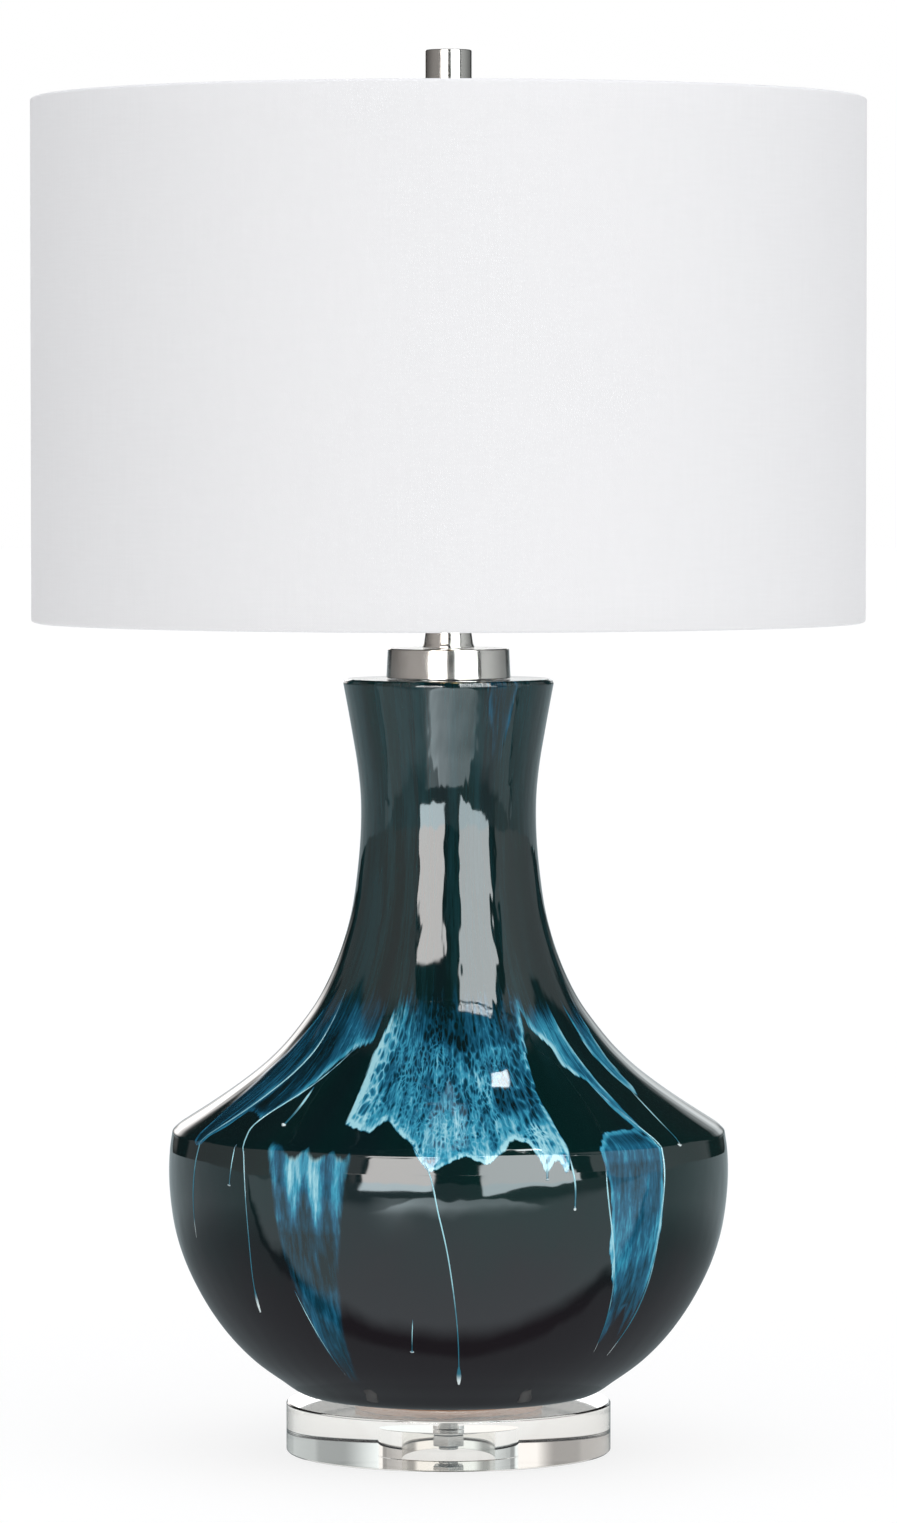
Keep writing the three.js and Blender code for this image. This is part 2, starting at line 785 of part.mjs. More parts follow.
const stand = groupAt(0, ...bumperFeet(), acrylicBase(), threadedRod(), ...baseFasteners());
const body = groupAt(VASE.bottom, vase(), cordGrommet());
const capGroup = groupAt(CAP_AT, vaseCap());
const neckGroup = groupAt(NECK_AT, neck());
const saddleGroup = groupAt(SADDLE_AT, harpSaddle());

const socket = groupAt(
  SOCKET_AT,
  socketCap(),
  socketSetScrew(),
  socketShell(),
  socketLiner(),
  socketInterior(),
  ...terminalScrews(),
  screwShell(),
  centerContact(),
  switchShaft(),
  switchKnob(),
);
const bulb = groupAt(SOCKET_AT + BULB.contactBottom, bulbContact(), bulbBase(), bulbEnvelope());

const harp = groupAt(
  SADDLE_AT,
  harpWire(),
  harpStud(),
  harpSleeve(-1, 'harp_sleeve_left'),
  harpSleeve(1, 'harp_sleeve_right'),
);
const shade = groupAt(
  SHADE.bottom,
  shadeFabric(),
  shadeLiner(),
  wireRing('top_ring', SHADE.height - RING_DROP),
  wireRing('bottom_ring', RING_DROP),
  spiderWasher(),
  ...spiderArms(),
);
const finialGroup = groupAt(FINIAL_AT, finial(), finialInsert());

lamp.add(stand, body, capGroup, neckGroup, saddleGroup, socket, bulb, harp, shade, finialGroup);

export default lamp;
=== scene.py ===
"""Table lamp: a stoneware vase under run glazes, on a clear disc, with nickel fittings and a drum shade.

The file is laid out as an add-on with one operator for each group of pieces. Run as a script, it
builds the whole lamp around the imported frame.
"""

import math

import bmesh
import bpy
import numpy as np
from bpy.props import FloatProperty, FloatVectorProperty, PointerProperty
from bpy.types import Operator, Panel, PropertyGroup
from mathutils import Matrix, Vector


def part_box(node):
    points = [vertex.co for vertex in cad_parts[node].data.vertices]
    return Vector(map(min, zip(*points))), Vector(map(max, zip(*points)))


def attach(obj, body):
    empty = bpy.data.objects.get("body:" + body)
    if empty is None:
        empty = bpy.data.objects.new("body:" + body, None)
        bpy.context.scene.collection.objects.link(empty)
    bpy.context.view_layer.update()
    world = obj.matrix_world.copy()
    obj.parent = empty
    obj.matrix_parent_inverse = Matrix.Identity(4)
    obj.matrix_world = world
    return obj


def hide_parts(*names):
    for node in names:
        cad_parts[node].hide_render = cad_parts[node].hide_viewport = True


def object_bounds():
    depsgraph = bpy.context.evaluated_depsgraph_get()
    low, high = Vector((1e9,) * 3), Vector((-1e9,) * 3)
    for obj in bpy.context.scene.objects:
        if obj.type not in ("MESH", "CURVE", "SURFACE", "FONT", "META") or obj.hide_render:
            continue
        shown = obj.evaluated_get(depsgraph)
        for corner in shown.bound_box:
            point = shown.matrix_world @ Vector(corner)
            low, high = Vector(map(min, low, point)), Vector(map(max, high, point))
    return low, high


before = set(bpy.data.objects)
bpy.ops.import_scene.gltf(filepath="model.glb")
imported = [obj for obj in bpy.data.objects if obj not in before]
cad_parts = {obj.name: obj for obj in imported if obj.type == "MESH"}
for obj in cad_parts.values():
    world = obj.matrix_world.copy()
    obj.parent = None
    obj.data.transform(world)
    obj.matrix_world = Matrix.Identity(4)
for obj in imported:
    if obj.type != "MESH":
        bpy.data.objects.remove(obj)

bl_info = {
    "name": "Stoneware Table Lamp",
    "version": (1, 0, 0),
    "blender": (4, 5, 0),
    "location": "View3D > Sidebar > Lamp",
    "description": "Builds a table lamp with a run-glazed vase, a clear base and a drum shade",
    "category": "Add Mesh",
}

MM = 0.001
TURN = 2 * math.pi
CAD_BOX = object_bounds()


# ---------------------------------------------------------------- settings


def colour(name, description, default):
    """A colour setting."""
    return FloatVectorProperty(
        name=name, description=description, default=default, size=3, min=0, max=1, subtype="COLOR"
    )


def length(name, description, default):
    """A length setting, in metres."""
    return FloatProperty(name=name, description=description, default=default, min=0, unit="LENGTH")


class LampGlazeSettings(PropertyGroup):
    """The glazes of the vase."""

    base: colour("Base glaze", "Near-black glaze under the runs", (0.0035, 0.0125, 0.0145))
    green: colour("Green cast", "Cast of the base glaze where it is thick", (0.002, 0.017, 0.016))
    umber: colour("Umber cast", "Cast of the base glaze low on the belly", (0.0125, 0.0100, 0.0125))
    teal: colour("Teal streaks", "Streaks in the base glaze on the neck", (0.007, 0.038, 0.044))
    deep: colour("Deep blue", "Darkest tone of the runs", (0.004, 0.046, 0.078))
    blue: colour("Blue", "Middle tone of the runs", (0.014, 0.122, 0.220))
    cyan: colour("Cyan", "Light tone of the runs", (0.048, 0.355, 0.520))
    pale: colour("Pale edge", "Tone of the runs where they pool", (0.400, 0.745, 0.825))
    clay: colour("Bare clay", "The unglazed foot", (0.420, 0.205, 0.115))
    cell: length("Cell size", "Size of the cells in the blue glaze", 2.5 * MM)
    wave: length("Waviness", "Height of the waves in the glaze", 0.10 * MM)
    relief: length("Run thickness", "How far the runs stand out", 0.22 * MM)


class LampMetalSettings(PropertyGroup):
    """The metals."""

    nickel: colour("Nickel", "Colour of the plated fittings", (0.60, 0.575, 0.545))
    brass: colour("Brass", "Colour of the brass parts", (0.72, 0.50, 0.20))
    zinc: colour("Zinc", "Colour of the plated steel hardware", (0.62, 0.63, 0.64))
    aluminium: colour("Aluminium", "Colour of the bulb's screw base", (0.72, 0.73, 0.74))
    enamel: colour("White enamel", "Colour of the shade's wires", (0.80, 0.80, 0.78))
    thread_pitch: length("Rod thread pitch", "Pitch of the lamp rod's thread", 25.4 / 27 * MM)
    bulb_pitch: length("Bulb thread pitch", "Pitch of the bulb's thread", 25.4 / 7 * MM)


class LampShadeSettings(PropertyGroup):
    """The shade's cloth and liner."""

    cloth: colour("Cloth", "Colour of the shade's cloth", (0.84, 0.84, 0.85))
    liner: colour("Liner", "Colour of the styrene inside the shade", (0.84, 0.84, 0.82))
    thread: length("Thread pitch", "Distance between the threads of the weave", 0.52 * MM)
    overlap: length("Seam overlap", "Width of the glued overlap at the back", 11 * MM)


class LampStageSettings(PropertyGroup):
    """The floor and the light."""

    floor: colour("Floor", "Colour of the floor", (0.93, 0.93, 0.93))
    light: FloatProperty(name="Light", description="Strength of the room's light", default=1.0, min=0)
    softbox: FloatProperty(
        name="Softbox", description="Strength of the softboxes in reflections", default=8.5, min=0
    )


# ---------------------------------------------------------------- outlines


def cad_outline(node, front=-1):
    """The outline of a turned CAD piece where it crosses the Y axis: (radius, height) pairs in metres,
    anticlockwise. front is -1 for the side towards -Y and 1 for the other side."""
    shape = bmesh.new()
    shape.from_mesh(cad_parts[node].data)
    bmesh.ops.remove_doubles(shape, verts=shape.verts, dist=1e-6)
    rim = {v for v in shape.verts if abs(v.co.x) < 3e-6 and v.co.y * front > -1e-6}
    nearby = {v: [e.other_vert(v) for e in v.link_edges if e.other_vert(v) in rim] for v in rim}
    here = min(rim, key=lambda v: (len(nearby[v]), v.co.z))
    walk = [here]
    while True:
        onward = [v for v in nearby[here] if v not in walk]
        if not onward:
            break
        here = onward[0]
        walk.append(here)
    points = [(abs(v.co.y), v.co.z) for v in walk]
    shape.free()
    if signed_area(points) < 0:
        points.reverse()
    return points


def signed_area(points):
    """Twice the area that an outline goes round, above zero if it runs anticlockwise."""
    onward = points[1:] + points[:1]
    return sum(a[0] * b[1] - b[0] * a[1] for a, b in zip(points, onward))


def is_open(points):
    """Whether an outline runs from the axis to the axis."""
    return points[0][0] < 1e-5 and points[-1][0] < 1e-5


def smooth_outline(points, steps=4, bevel=0.25 * MM, corner=34.0):
    """An outline with its curved stretches made finer and its sharp corners given a small round."""
    spots = [Vector(p) for p in points]
    count = len(spots)
    ends_free = is_open(points)
    last = count - 1 if ends_free else count

    def direction(i):
        step = spots[(i + 1) % count] - spots[i % count]
        return step.normalized(), step.length

    sharp, tangents = [], []
    for i in range(count):
        at_end = ends_free and i in (0, count - 1)
        before, before_length = direction(i - 1)
        after, after_length = direction(i)
        turn = math.degrees(before.angle(after, 0.0))
        sharp.append(at_end or turn > corner)
        if max(before_length, after_length) > 2.2 * min(before_length, after_length):
            tangents.append(before if before_length > after_length else after)
        else:
            tangents.append((before * after_length + after * before_length).normalized())

    fine = []
    for i in range(last):
        j = (i + 1) % count
        start, end = spots[i], spots[j]
        line, size = direction(i)
        out = line if sharp[i] else tangents[i]
        into = line if sharp[j] else tangents[j]
        fine.append((start, sharp[i]))
        if sharp[i] and sharp[j]:
            continue
        for k in range(1, steps):
            t = k / steps
            near = 2 * t**3 - 3 * t**2 + 1
            leave = (t**3 - 2 * t**2 + t) * size
            far = 3 * t**2 - 2 * t**3
            arrive = (t**3 - t**2) * size
            fine.append((near * start + leave * out + far * end + arrive * into, False))
    if ends_free:
        fine.append((spots[-1], True))
    return bevelled(fine, ends_free, bevel)


def bevelled(fine, ends_free, bevel, arc_steps=4):
    """The points of an outline, given as (point, is_sharp), with a small round at each sharp one."""
    result = []
    count = len(fine)
    for i, (spot, is_sharp) in enumerate(fine):
        if not is_sharp or bevel == 0 or (ends_free and i in (0, count - 1)):
            result.append(tuple(spot))
            continue
        back = fine[i - 1][0] - spot
        ahead = fine[(i + 1) % count][0] - spot
        reach = min(bevel, 0.42 * back.length, 0.42 * ahead.length)
        start = spot + back.normalized() * reach
        end = spot + ahead.normalized() * reach
        for k in range(arc_steps + 1):
            t = k / arc_steps
            result.append(tuple((1 - t) ** 2 * start + 2 * t * (1 - t) * spot + t**2 * end))
    return result


def outer_skin(points, hole):
    """The part of an outline from the bottom of a centre hole, round the outside, to the top of it."""
    low = min((p for p in points if p[0] < hole), key=lambda p: p[1])
    start = points.index(low)
    turned_round = points[start:] + points[:start]
    end = next(i for i, p in enumerate(turned_round) if i > 0 and p[0] < hole)
    return turned_round[: end + 1]


def radius_at(points, heights):
    """The outer radius of an outline at each height."""
    rising = sorted((z, r) for r, z in points)
    levels = np.array([z for z, _ in rising])
    radii = np.array([r for _, r in rising])
    return np.interp(heights, levels, radii)


# ---------------------------------------------------------------- meshes


def turned_grid(points, segments):
    """Vertices, faces and UVs of an outline turned about the Z axis. U is the angle's share of a turn
    and V is the distance along the outline in metres."""
    open_ended = is_open(points)
    profile = np.array(points)
    rings = len(profile)
    angles = -math.pi / 2 + np.arange(segments) * TURN / segments
    across = np.stack([np.cos(angles), np.sin(angles)], axis=1)
    ring_points = np.zeros((rings, segments, 3))
    ring_points[:, :, :2] = profile[:, None, :1] * across[None]
    ring_points[:, :, 2] = profile[:, 1:]
    run = np.concatenate([[0], np.cumsum(np.linalg.norm(np.diff(profile, axis=0), axis=1))])
    body = range(1, rings - 1) if open_ended else range(rings)
    vertices = [tuple(p) for i in body for p in ring_points[i]]
    index = {ring: k for k, ring in enumerate(body)}
    bands = zip(body, list(body)[1:]) if open_ended else [(i, (i + 1) % rings) for i in body]
    faces, uvs = [], []
    closing = run[-1] + (0 if open_ended else np.linalg.norm(profile[0] - profile[-1]))
    for low, high in bands:
        top = closing if high < low else run[high]
        for s in range(segments):
            t = (s + 1) % segments
            a, b = index[low] * segments, index[high] * segments
            faces.append((a + s, a + t, b + t, b + s))
            left, right = s / segments, (s + 1) / segments
            uvs += [(left, run[low]), (right, run[low]), (right, top), (left, top)]
    if open_ended:
        for ring, pole, top in ((1, 0, False), (rings - 2, rings - 1, True)):
            vertices.append((0.0, 0.0, profile[pole][1]))
            centre = len(vertices) - 1
            base = index[ring] * segments
            for s in range(segments):
                t = (s + 1) % segments
                corners = (base + s, base + t, centre) if top else (base + t, base + s, centre)
                faces.append(corners)
                share = [(c - base) / segments if c != centre else (s + 0.5) / segments for c in corners]
                uvs += [(u, run[pole] if c == centre else run[ring]) for u, c in zip(share, corners)]
    return vertices, faces, uvs


def new_object(name, vertices, faces, uvs=None, smooth=True):
    """A mesh object in the scene."""
    mesh = bpy.data.meshes.new(name)
    mesh.from_pydata(vertices, [], faces)
    if uvs:
        layer = mesh.uv_layers.new(name="UVMap")
        layer.data.foreach_set("uv", np.array(uvs, np.float32).ravel())
    mesh.polygons.foreach_set("use_smooth", [smooth] * len(mesh.polygons))
    mesh.update()
    obj = bpy.data.objects.new(name, mesh)
    bpy.context.scene.collection.objects.link(obj)
    return obj


def settle(obj):
    """Turns an object's modifiers into its plain mesh."""
    graph = bpy.context.evaluated_depsgraph_get()
    mesh = bpy.data.meshes.new_from_object(
        obj.evaluated_get(graph), preserve_all_data_layers=True, depsgraph=graph
    )
    obj.modifiers.clear()
    if obj.type == "MESH":
        obj.data = mesh
        return obj
    name = obj.name
    bpy.data.objects.remove(obj)
    made = bpy.data.objects.new(name, mesh)
    bpy.context.scene.collection.objects.link(made)
    return made


def even_shading(obj):
    """Keeps the shading of broad faces flat up to their rounded edges."""
    weighted = obj.modifiers.new("Even shading", "WEIGHTED_NORMAL")
    weighted.keep_sharp = True
    return settle(obj)


def place(obj, body, slot, material, *nodes):
    """Gives a finished piece its material and its body, and hides the CAD nodes it stands for. slot is not
    used.
    """
    if material is not None:
        obj.data.materials.clear()
        obj.data.materials.append(material)
    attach(obj, body)
    if nodes:
        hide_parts(*nodes)
    return obj


def turned_piece(name, points, segments=96, bevel=0.25 * MM, steps=4, thread=None):
    """A turned object, its outline smoothed. thread is (from, to, pitch, depth) for a screw thread."""
    outline = smooth_outline(points, steps, bevel)
    if thread:
        outline = finer_between(outline, thread[0], thread[1], thread[2] / 6)
    obj = new_object(name, *turned_grid(outline, segments))
    if thread:
        cut_thread(obj, *thread)
        return obj
    return even_shading(obj)


def refined(name, node, segments, bevel, body, slot, material, front=-1, **more):
    """A turned CAD piece made again from its own outline, finer and with rounded edges."""
    piece = turned_piece(name, cad_outline(node, front), segments, bevel, **more)
    return place(piece, body, slot, material, node)


def finer_between(points, low, high, step):
    """An outline with extra points on its upright stretches between two heights."""
    result = []
    for here, after in zip(points, points[1:] + points[:1]):
        result.append(here)
        rise = after[1] - here[1]
        upright = abs(rise) > step and abs(after[0] - here[0]) < abs(rise)
        if not upright or max(here[1], after[1]) < low or min(here[1], after[1]) > high:
            continue
        count = int(abs(rise) / step)
        if is_open(points) and here == points[-1]:
            continue
        for k in range(1, count):
            t = k / count
            if low - step < here[1] + rise * t < high + step:
                result.append((here[0] + (after[0] - here[0]) * t, here[1] + rise * t))
    return result


def cut_thread(obj, low, high, pitch, depth):
    """Draws a screw thread into the upright walls of a turned object between two heights."""
    mesh = obj.data
    count = len(mesh.vertices)
    spots = np.zeros(count * 3)
    mesh.vertices.foreach_get("co", spots)
    spots = spots.reshape(-1, 3)
    radius = np.hypot(spots[:, 0], spots[:, 1])
    angle = np.arctan2(spots[:, 1], spots[:, 0])
    ease = np.clip(np.minimum(spots[:, 2] - low, high - spots[:, 2]) / pitch, 0, 1)
    groove = 0.5 - 0.5 * np.cos(TURN * (spots[:, 2] / pitch) - angle)
    fresh = np.maximum(radius - depth * ease * groove, 0)
    scale = np.where(radius > 1e-6, fresh / np.maximum(radius, 1e-6), 1)
    spots[:, :2] *= scale[:, None]
    mesh.vertices.foreach_set("co", spots.ravel())
    mesh.update()


def softened(name, node, bevel, body, slot, material, segments=3):
    """A CAD piece of flat faces, with its edges rounded."""
    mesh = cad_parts[node].data.copy()
    mesh.name = name
    obj = bpy.data.objects.new(name, mesh)
    bpy.context.scene.collection.objects.link(obj)
    shape = bmesh.new()
    shape.from_mesh(mesh)
    bmesh.ops.remove_doubles(shape, verts=shape.verts, dist=1e-6)
    bmesh.ops.dissolve_limit(shape, angle_limit=math.radians(2), verts=shape.verts, edges=shape.edges)
    shape.to_mesh(mesh)
    shape.free()
    mesh.polygons.foreach_set("use_smooth", [True] * len(mesh.polygons))
    edges = obj.modifiers.new("Rounded edges", "BEVEL")
    edges.width = bevel
    edges.segments = segments
    edges.limit_method = "ANGLE"
    edges.angle_limit = math.radians(40)
    obj = even_shading(obj)
    return place(obj, body, slot, material, node)


# ---------------------------------------------------------------- geometry nodes


def new_group(name, kind, inputs, outputs):
    """A node group with named sockets. inputs are (name, socket type, default)."""
    tree = bpy.data.node_groups.new(name, kind)
    for title, socket, default in inputs:
        made = tree.interface.new_socket(name=title, in_out="INPUT", socket_type=socket)
        if default is not None:
            made.default_value = default
    for title, socket in outputs:
        tree.interface.new_socket(name=title, in_out="OUTPUT", socket_type=socket)
    return tree


class Graph:
    """Adds nodes to a tree and joins them up."""

    def __init__(self, tree):
        self.tree = tree

    def add(self, kind, inputs=None, **settings):
        """Adds a node. inputs maps a socket's name or number to a value or to another socket."""
        node = self.tree.nodes.new(kind)
        for key, value in settings.items():
            setattr(node, key, value)
        for key, value in (inputs or {}).items():
            socket = node.inputs[key]
            if isinstance(value, bpy.types.NodeSocket):
                self.tree.links.new(value, socket)
            else:
                socket.default_value = value
        return node

    def math(self, operation, *values, clamp=False):
        """The result of a Math node."""
        node = self.add("ShaderNodeMath", dict(enumerate(values)), operation=operation, use_clamp=clamp)
        return node.outputs[0]

    def times(self, first, second):
        """Two values multiplied."""
        return self.math("MULTIPLY", first, second)

    def plus(self, first, second):
        """Two values added."""
        return self.math("ADD", first, second)

    def drifted(self, value, noise, amount):
        """A value moved up and down by a noise of 0 to 1."""
        return self.plus(value, self.times(self.math("SUBTRACT", noise, 0.5), amount))

    def blended(self, share, first, second):
        """A mix of two shaders."""
        return self.add("ShaderNodeMixShader", {0: share, 1: first.outputs[0], 2: second.outputs[0]})

    def chosen(self, share, first, second):
        """A mix of two values."""
        return self.add("ShaderNodeMix", {0: share, 2: first, 3: second}).outputs[0]

    def show(self, shader):
        """Makes a shader the surface of the material."""
        self.tree.links.new(shader.outputs[0], self.tree.nodes["Material Output"].inputs["Surface"])

    def vector(self, operation, *values):
        """The vector result of a Vector Math node."""
        node = self.add("ShaderNodeVectorMath", dict(enumerate(values)), operation=operation)
        return node.outputs[0]

    def ramp(self, value, low, high, to_low=0.0, to_high=1.0, kind="SMOOTHSTEP"):
        """A value moved smoothly from one range to another."""
        node = self.add(
            "ShaderNodeMapRange",
            {"Value": value, "From Min": low, "From Max": high, "To Min": to_low, "To Max": to_high},
            interpolation_type=kind,
        )
        return node.outputs["Result"]

    def window(self, value, low, high, soft):
        """1 between two limits and 0 outside them, with soft edges."""
        opens = self.ramp(value, low - soft, low + soft)
        closes = self.ramp(value, high - soft, high + soft, 1.0, 0.0)
        return self.math("MULTIPLY", opens, closes)

    def noise(self, vector, scale, detail=2.0, roughness=0.5):
        """The value of a Noise Texture."""
        inputs = {"Vector": vector, "Scale": scale, "Detail": detail, "Roughness": roughness}
        return self.add("ShaderNodeTexNoise", inputs).outputs["Fac"]

    def mix(self, share, first, second, blend="MIX"):
        """Two colours mixed."""
        node = self.add("ShaderNodeMix", data_type="RGBA", blend_type=blend)
        for socket, value in ((node.inputs[0], share), (node.inputs[6], first), (node.inputs[7], second)):
            if isinstance(value, bpy.types.NodeSocket):
                self.tree.links.new(value, socket)
            else:
                socket.default_value = value if socket == node.inputs[0] else rgba(value)
        return node.outputs[2]

    def attribute(self, name, output="Fac"):
        """A value stored on the mesh."""
        node = self.add("ShaderNodeAttribute", attribute_name=name)
        return node.outputs[output]


def rgba(value):
    """A colour as four numbers."""
    return (*value[:3], 1.0)


def tube_nodes():
    """Geometry nodes that sweep a round section along a curve, as thick as the curve's own radius."""
    tree = new_group(
        "Swept Tube",
        "GeometryNodeTree",
        [
            ("Geometry", "NodeSocketGeometry", None),
            ("Radius", "NodeSocketFloat", 1.0),
            ("Sides", "NodeSocketInt", 16),
            ("Material", "NodeSocketMaterial", None),
        ],
        [("Geometry", "NodeSocketGeometry")],
    )
    graph = Graph(tree)
    source = graph.add("NodeGroupInput")
    share = graph.add("GeometryNodeSplineParameter")
    marked = graph.add(
        "GeometryNodeStoreNamedAttribute",
        {"Geometry": source.outputs["Geometry"], "Name": "along", "Value": share.outputs["Factor"]},
        data_type="FLOAT",
        domain="POINT",
    )
    section = graph.add(
        "GeometryNodeCurvePrimitiveCircle",
        {"Resolution": source.outputs["Sides"], "Radius": source.outputs["Radius"]},
    )
    swept = graph.add(
        "GeometryNodeCurveToMesh",
        {
            "Curve": marked.outputs["Geometry"],
            "Profile Curve": section.outputs["Curve"],
            "Fill Caps": True,
        },
    )
    if "Scale" in swept.inputs:
        thickness = graph.add("GeometryNodeInputRadius")
        tree.links.new(thickness.outputs["Radius"], swept.inputs["Scale"])
    smooth = graph.add("GeometryNodeSetShadeSmooth", {"Geometry": swept.outputs["Mesh"]})
    real = graph.add("GeometryNodeRealizeInstances", {"Geometry": smooth.outputs["Geometry"]})
    painted = graph.add(
        "GeometryNodeSetMaterial",
        {"Geometry": real.outputs["Geometry"], "Material": source.outputs["Material"]},
    )
    graph.add("NodeGroupOutput", {"Geometry": painted.outputs["Geometry"]})
    return tree


def shared(name, make):
    """A node group that is made once and then used again."""
    return bpy.data.node_groups.get(name) or make()


def swept_piece(name, paths, radius, material, sides=16):
    """A mesh of round wires along paths. Each path is a list of (point, thickness share)."""
    curve = bpy.data.curves.new(name, "CURVE")
    curve.dimensions = "3D"
    for path in paths:
        spline = curve.splines.new("POLY")
        spline.points.add(len(path) - 1)
        for spot, (point, thickness) in zip(spline.points, path):
            spot.co = (*point, 1.0)
            spot.radius = thickness
    obj = bpy.data.objects.new(name, curve)
    bpy.context.scene.collection.objects.link(obj)
    sweep = obj.modifiers.new("Sweep", "NODES")
    sweep.node_group = shared("Swept Tube", tube_nodes)
    sockets = {s.name: s.identifier for s in sweep.node_group.interface.items_tree if s.in_out == "INPUT"}
    sweep[sockets["Radius"]] = float(radius)
    sweep[sockets["Sides"]] = sides
    sweep[sockets["Material"]] = material
    return outward(settle(obj))


def outward(obj):
    """Closes a mesh's seams and turns its faces outwards."""
    shape = bmesh.new()
    shape.from_mesh(obj.data)
    bmesh.ops.remove_doubles(shape, verts=shape.verts, dist=1e-7)
    bmesh.ops.recalc_face_normals(shape, faces=shape.faces)
    shape.to_mesh(obj.data)
    shape.free()
    return obj


def smooth_path(points, steps=8):
    """Points along a smooth line through a list of points."""
    spots = [Vector(p) for p in points]
    padded = [2 * spots[0] - spots[1], *spots, 2 * spots[-1] - spots[-2]]
    result = []
    for a, b, c, d in zip(padded, padded[1:], padded[2:], padded[3:]):
        for k in range(steps):
            t = k / steps
            square = (2 * a - 5 * b + 4 * c - d) * t**2
            cube = (3 * b - a - 3 * c + d) * t**3
            result.append(0.5 * (2 * b + (c - a) * t + square + cube))
    result.append(spots[-1])
    return result


# ---------------------------------------------------------------- shared shader effects


def turned_lines_group():
    """Fine rings left by a lathe: a value that changes with height and radius only."""
    tree = new_group(
        "Turned Lines",
        "ShaderNodeTree",
        [("Spacing", "NodeSocketFloat", 0.0004)],
        [("Lines", "NodeSocketFloat"), ("Smudge", "NodeSocketFloat")],
    )
    graph = Graph(tree)
    source = graph.add("NodeGroupInput")
    where = graph.add("ShaderNodeTexCoord").outputs["Object"]
    parts = graph.add("ShaderNodeSeparateXYZ", {"Vector": where})
    level = graph.add("ShaderNodeCombineXYZ", {"X": parts.outputs["X"], "Y": parts.outputs["Y"]})
    radius = graph.add("ShaderNodeVectorMath", {0: level.outputs[0]}, operation="LENGTH").outputs["Value"]
    ring = graph.math("DIVIDE", graph.plus(parts.outputs["Z"], radius), source.outputs["Spacing"])
    line = graph.add("ShaderNodeTexNoise", {"W": ring, "Scale": 1.0, "Detail": 3.0}, noise_dimensions="1D")
    smudge = graph.noise(where, 90.0, 4.0, 0.6)
    graph.add("NodeGroupOutput", {"Lines": line.outputs["Fac"], "Smudge": smudge})
    return tree


def fine_grain_group():
    """Faint specks and a soft unevenness, for paint, plastic and rubber."""
    tree = new_group(
        "Fine Grain",
        "ShaderNodeTree",
        [("Grain Size", "NodeSocketFloat", 0.0004)],
        [("Grain", "NodeSocketFloat"), ("Patches", "NodeSocketFloat")],
    )
    graph = Graph(tree)
    source = graph.add("NodeGroupInput")
    where = graph.add("ShaderNodeTexCoord").outputs["Object"]
    finer = graph.math("DIVIDE", 1.0, source.outputs["Grain Size"])
    grain = graph.noise(where, finer, 3.0, 0.6)
    patches = graph.noise(where, 60.0, 3.0, 0.55)
    graph.add("NodeGroupOutput", {"Grain": grain, "Patches": patches})
    return tree


def weave_group():
    """A plain weave with uneven threads. U and V are in metres."""
    tree = new_group(
        "Plain Weave",
        "ShaderNodeTree",
        [("Around", "NodeSocketFloat", 1.0), ("Pitch", "NodeSocketFloat", 0.0005)],
        [("Height", "NodeSocketFloat"), ("Slubs", "NodeSocketFloat")],
    )
    graph = Graph(tree)
    source = graph.add("NodeGroupInput")
    unrolled = graph.add("ShaderNodeUVMap", uv_map="UVMap").outputs["UV"]
    uv = graph.add("ShaderNodeSeparateXYZ", {"Vector": unrolled})
    across = graph.times(uv.outputs["X"], source.outputs["Around"])
    up = uv.outputs["Y"]
    flat = graph.add("ShaderNodeCombineXYZ", {"X": across, "Y": up}).outputs[0]
    wander = graph.times(graph.math("SUBTRACT", graph.noise(flat, 70.0, 2.0), 0.5), 0.0012)
    step = graph.math("DIVIDE", math.pi, source.outputs["Pitch"])
    warp = graph.math("SINE", graph.times(graph.plus(across, wander), step))
    weft = graph.math("SINE", graph.times(graph.plus(up, wander), step))
    woven = graph.times(warp, weft)
    long_way = graph.add("ShaderNodeMapping", {"Vector": flat, "Scale": (0.06, 1.0, 1.0)}).outputs[0]
    high_way = graph.add("ShaderNodeMapping", {"Vector": flat, "Scale": (1.0, 0.05, 1.0)}).outputs[0]
    slub = graph.plus(graph.noise(long_way, 900.0, 2.0), graph.noise(high_way, 700.0, 2.0))
    graph.add("NodeGroupOutput", {"Height": woven, "Slubs": slub})
    return tree


# ---------------------------------------------------------------- materials


def new_material(name, **values):
    """A material with one Principled shader. values are its sockets, with _ for a space."""
    material = bpy.data.materials.new(name)
    material.use_nodes = True
    graph = Graph(material.node_tree)
    shader = material.node_tree.nodes["Principled BSDF"]
    for key, value in values.items():
        socket = shader.inputs[key.replace("_", " ")]
        socket.default_value = rgba(value) if socket.type == "RGBA" else value
    return material, graph, shader


def join(graph, shader, **links):
    """Feeds sockets of a shader. Keys have _ for a space."""
    for key, source in links.items():
        graph.tree.links.new(source, shader.inputs[key.replace("_", " ")])


def bump(graph, height, distance, strength=1.0, normal=None):
    """The normal of a Bump node."""
    inputs = {"Height": height, "Distance": distance, "Strength": strength}
    if normal is not None:
        inputs["Normal"] = normal
    return graph.add("ShaderNodeBump", inputs).outputs["Normal"]


def scaled(value, share):
    """A colour made darker or lighter."""
    return tuple(min(1.0, c * share) for c in value)


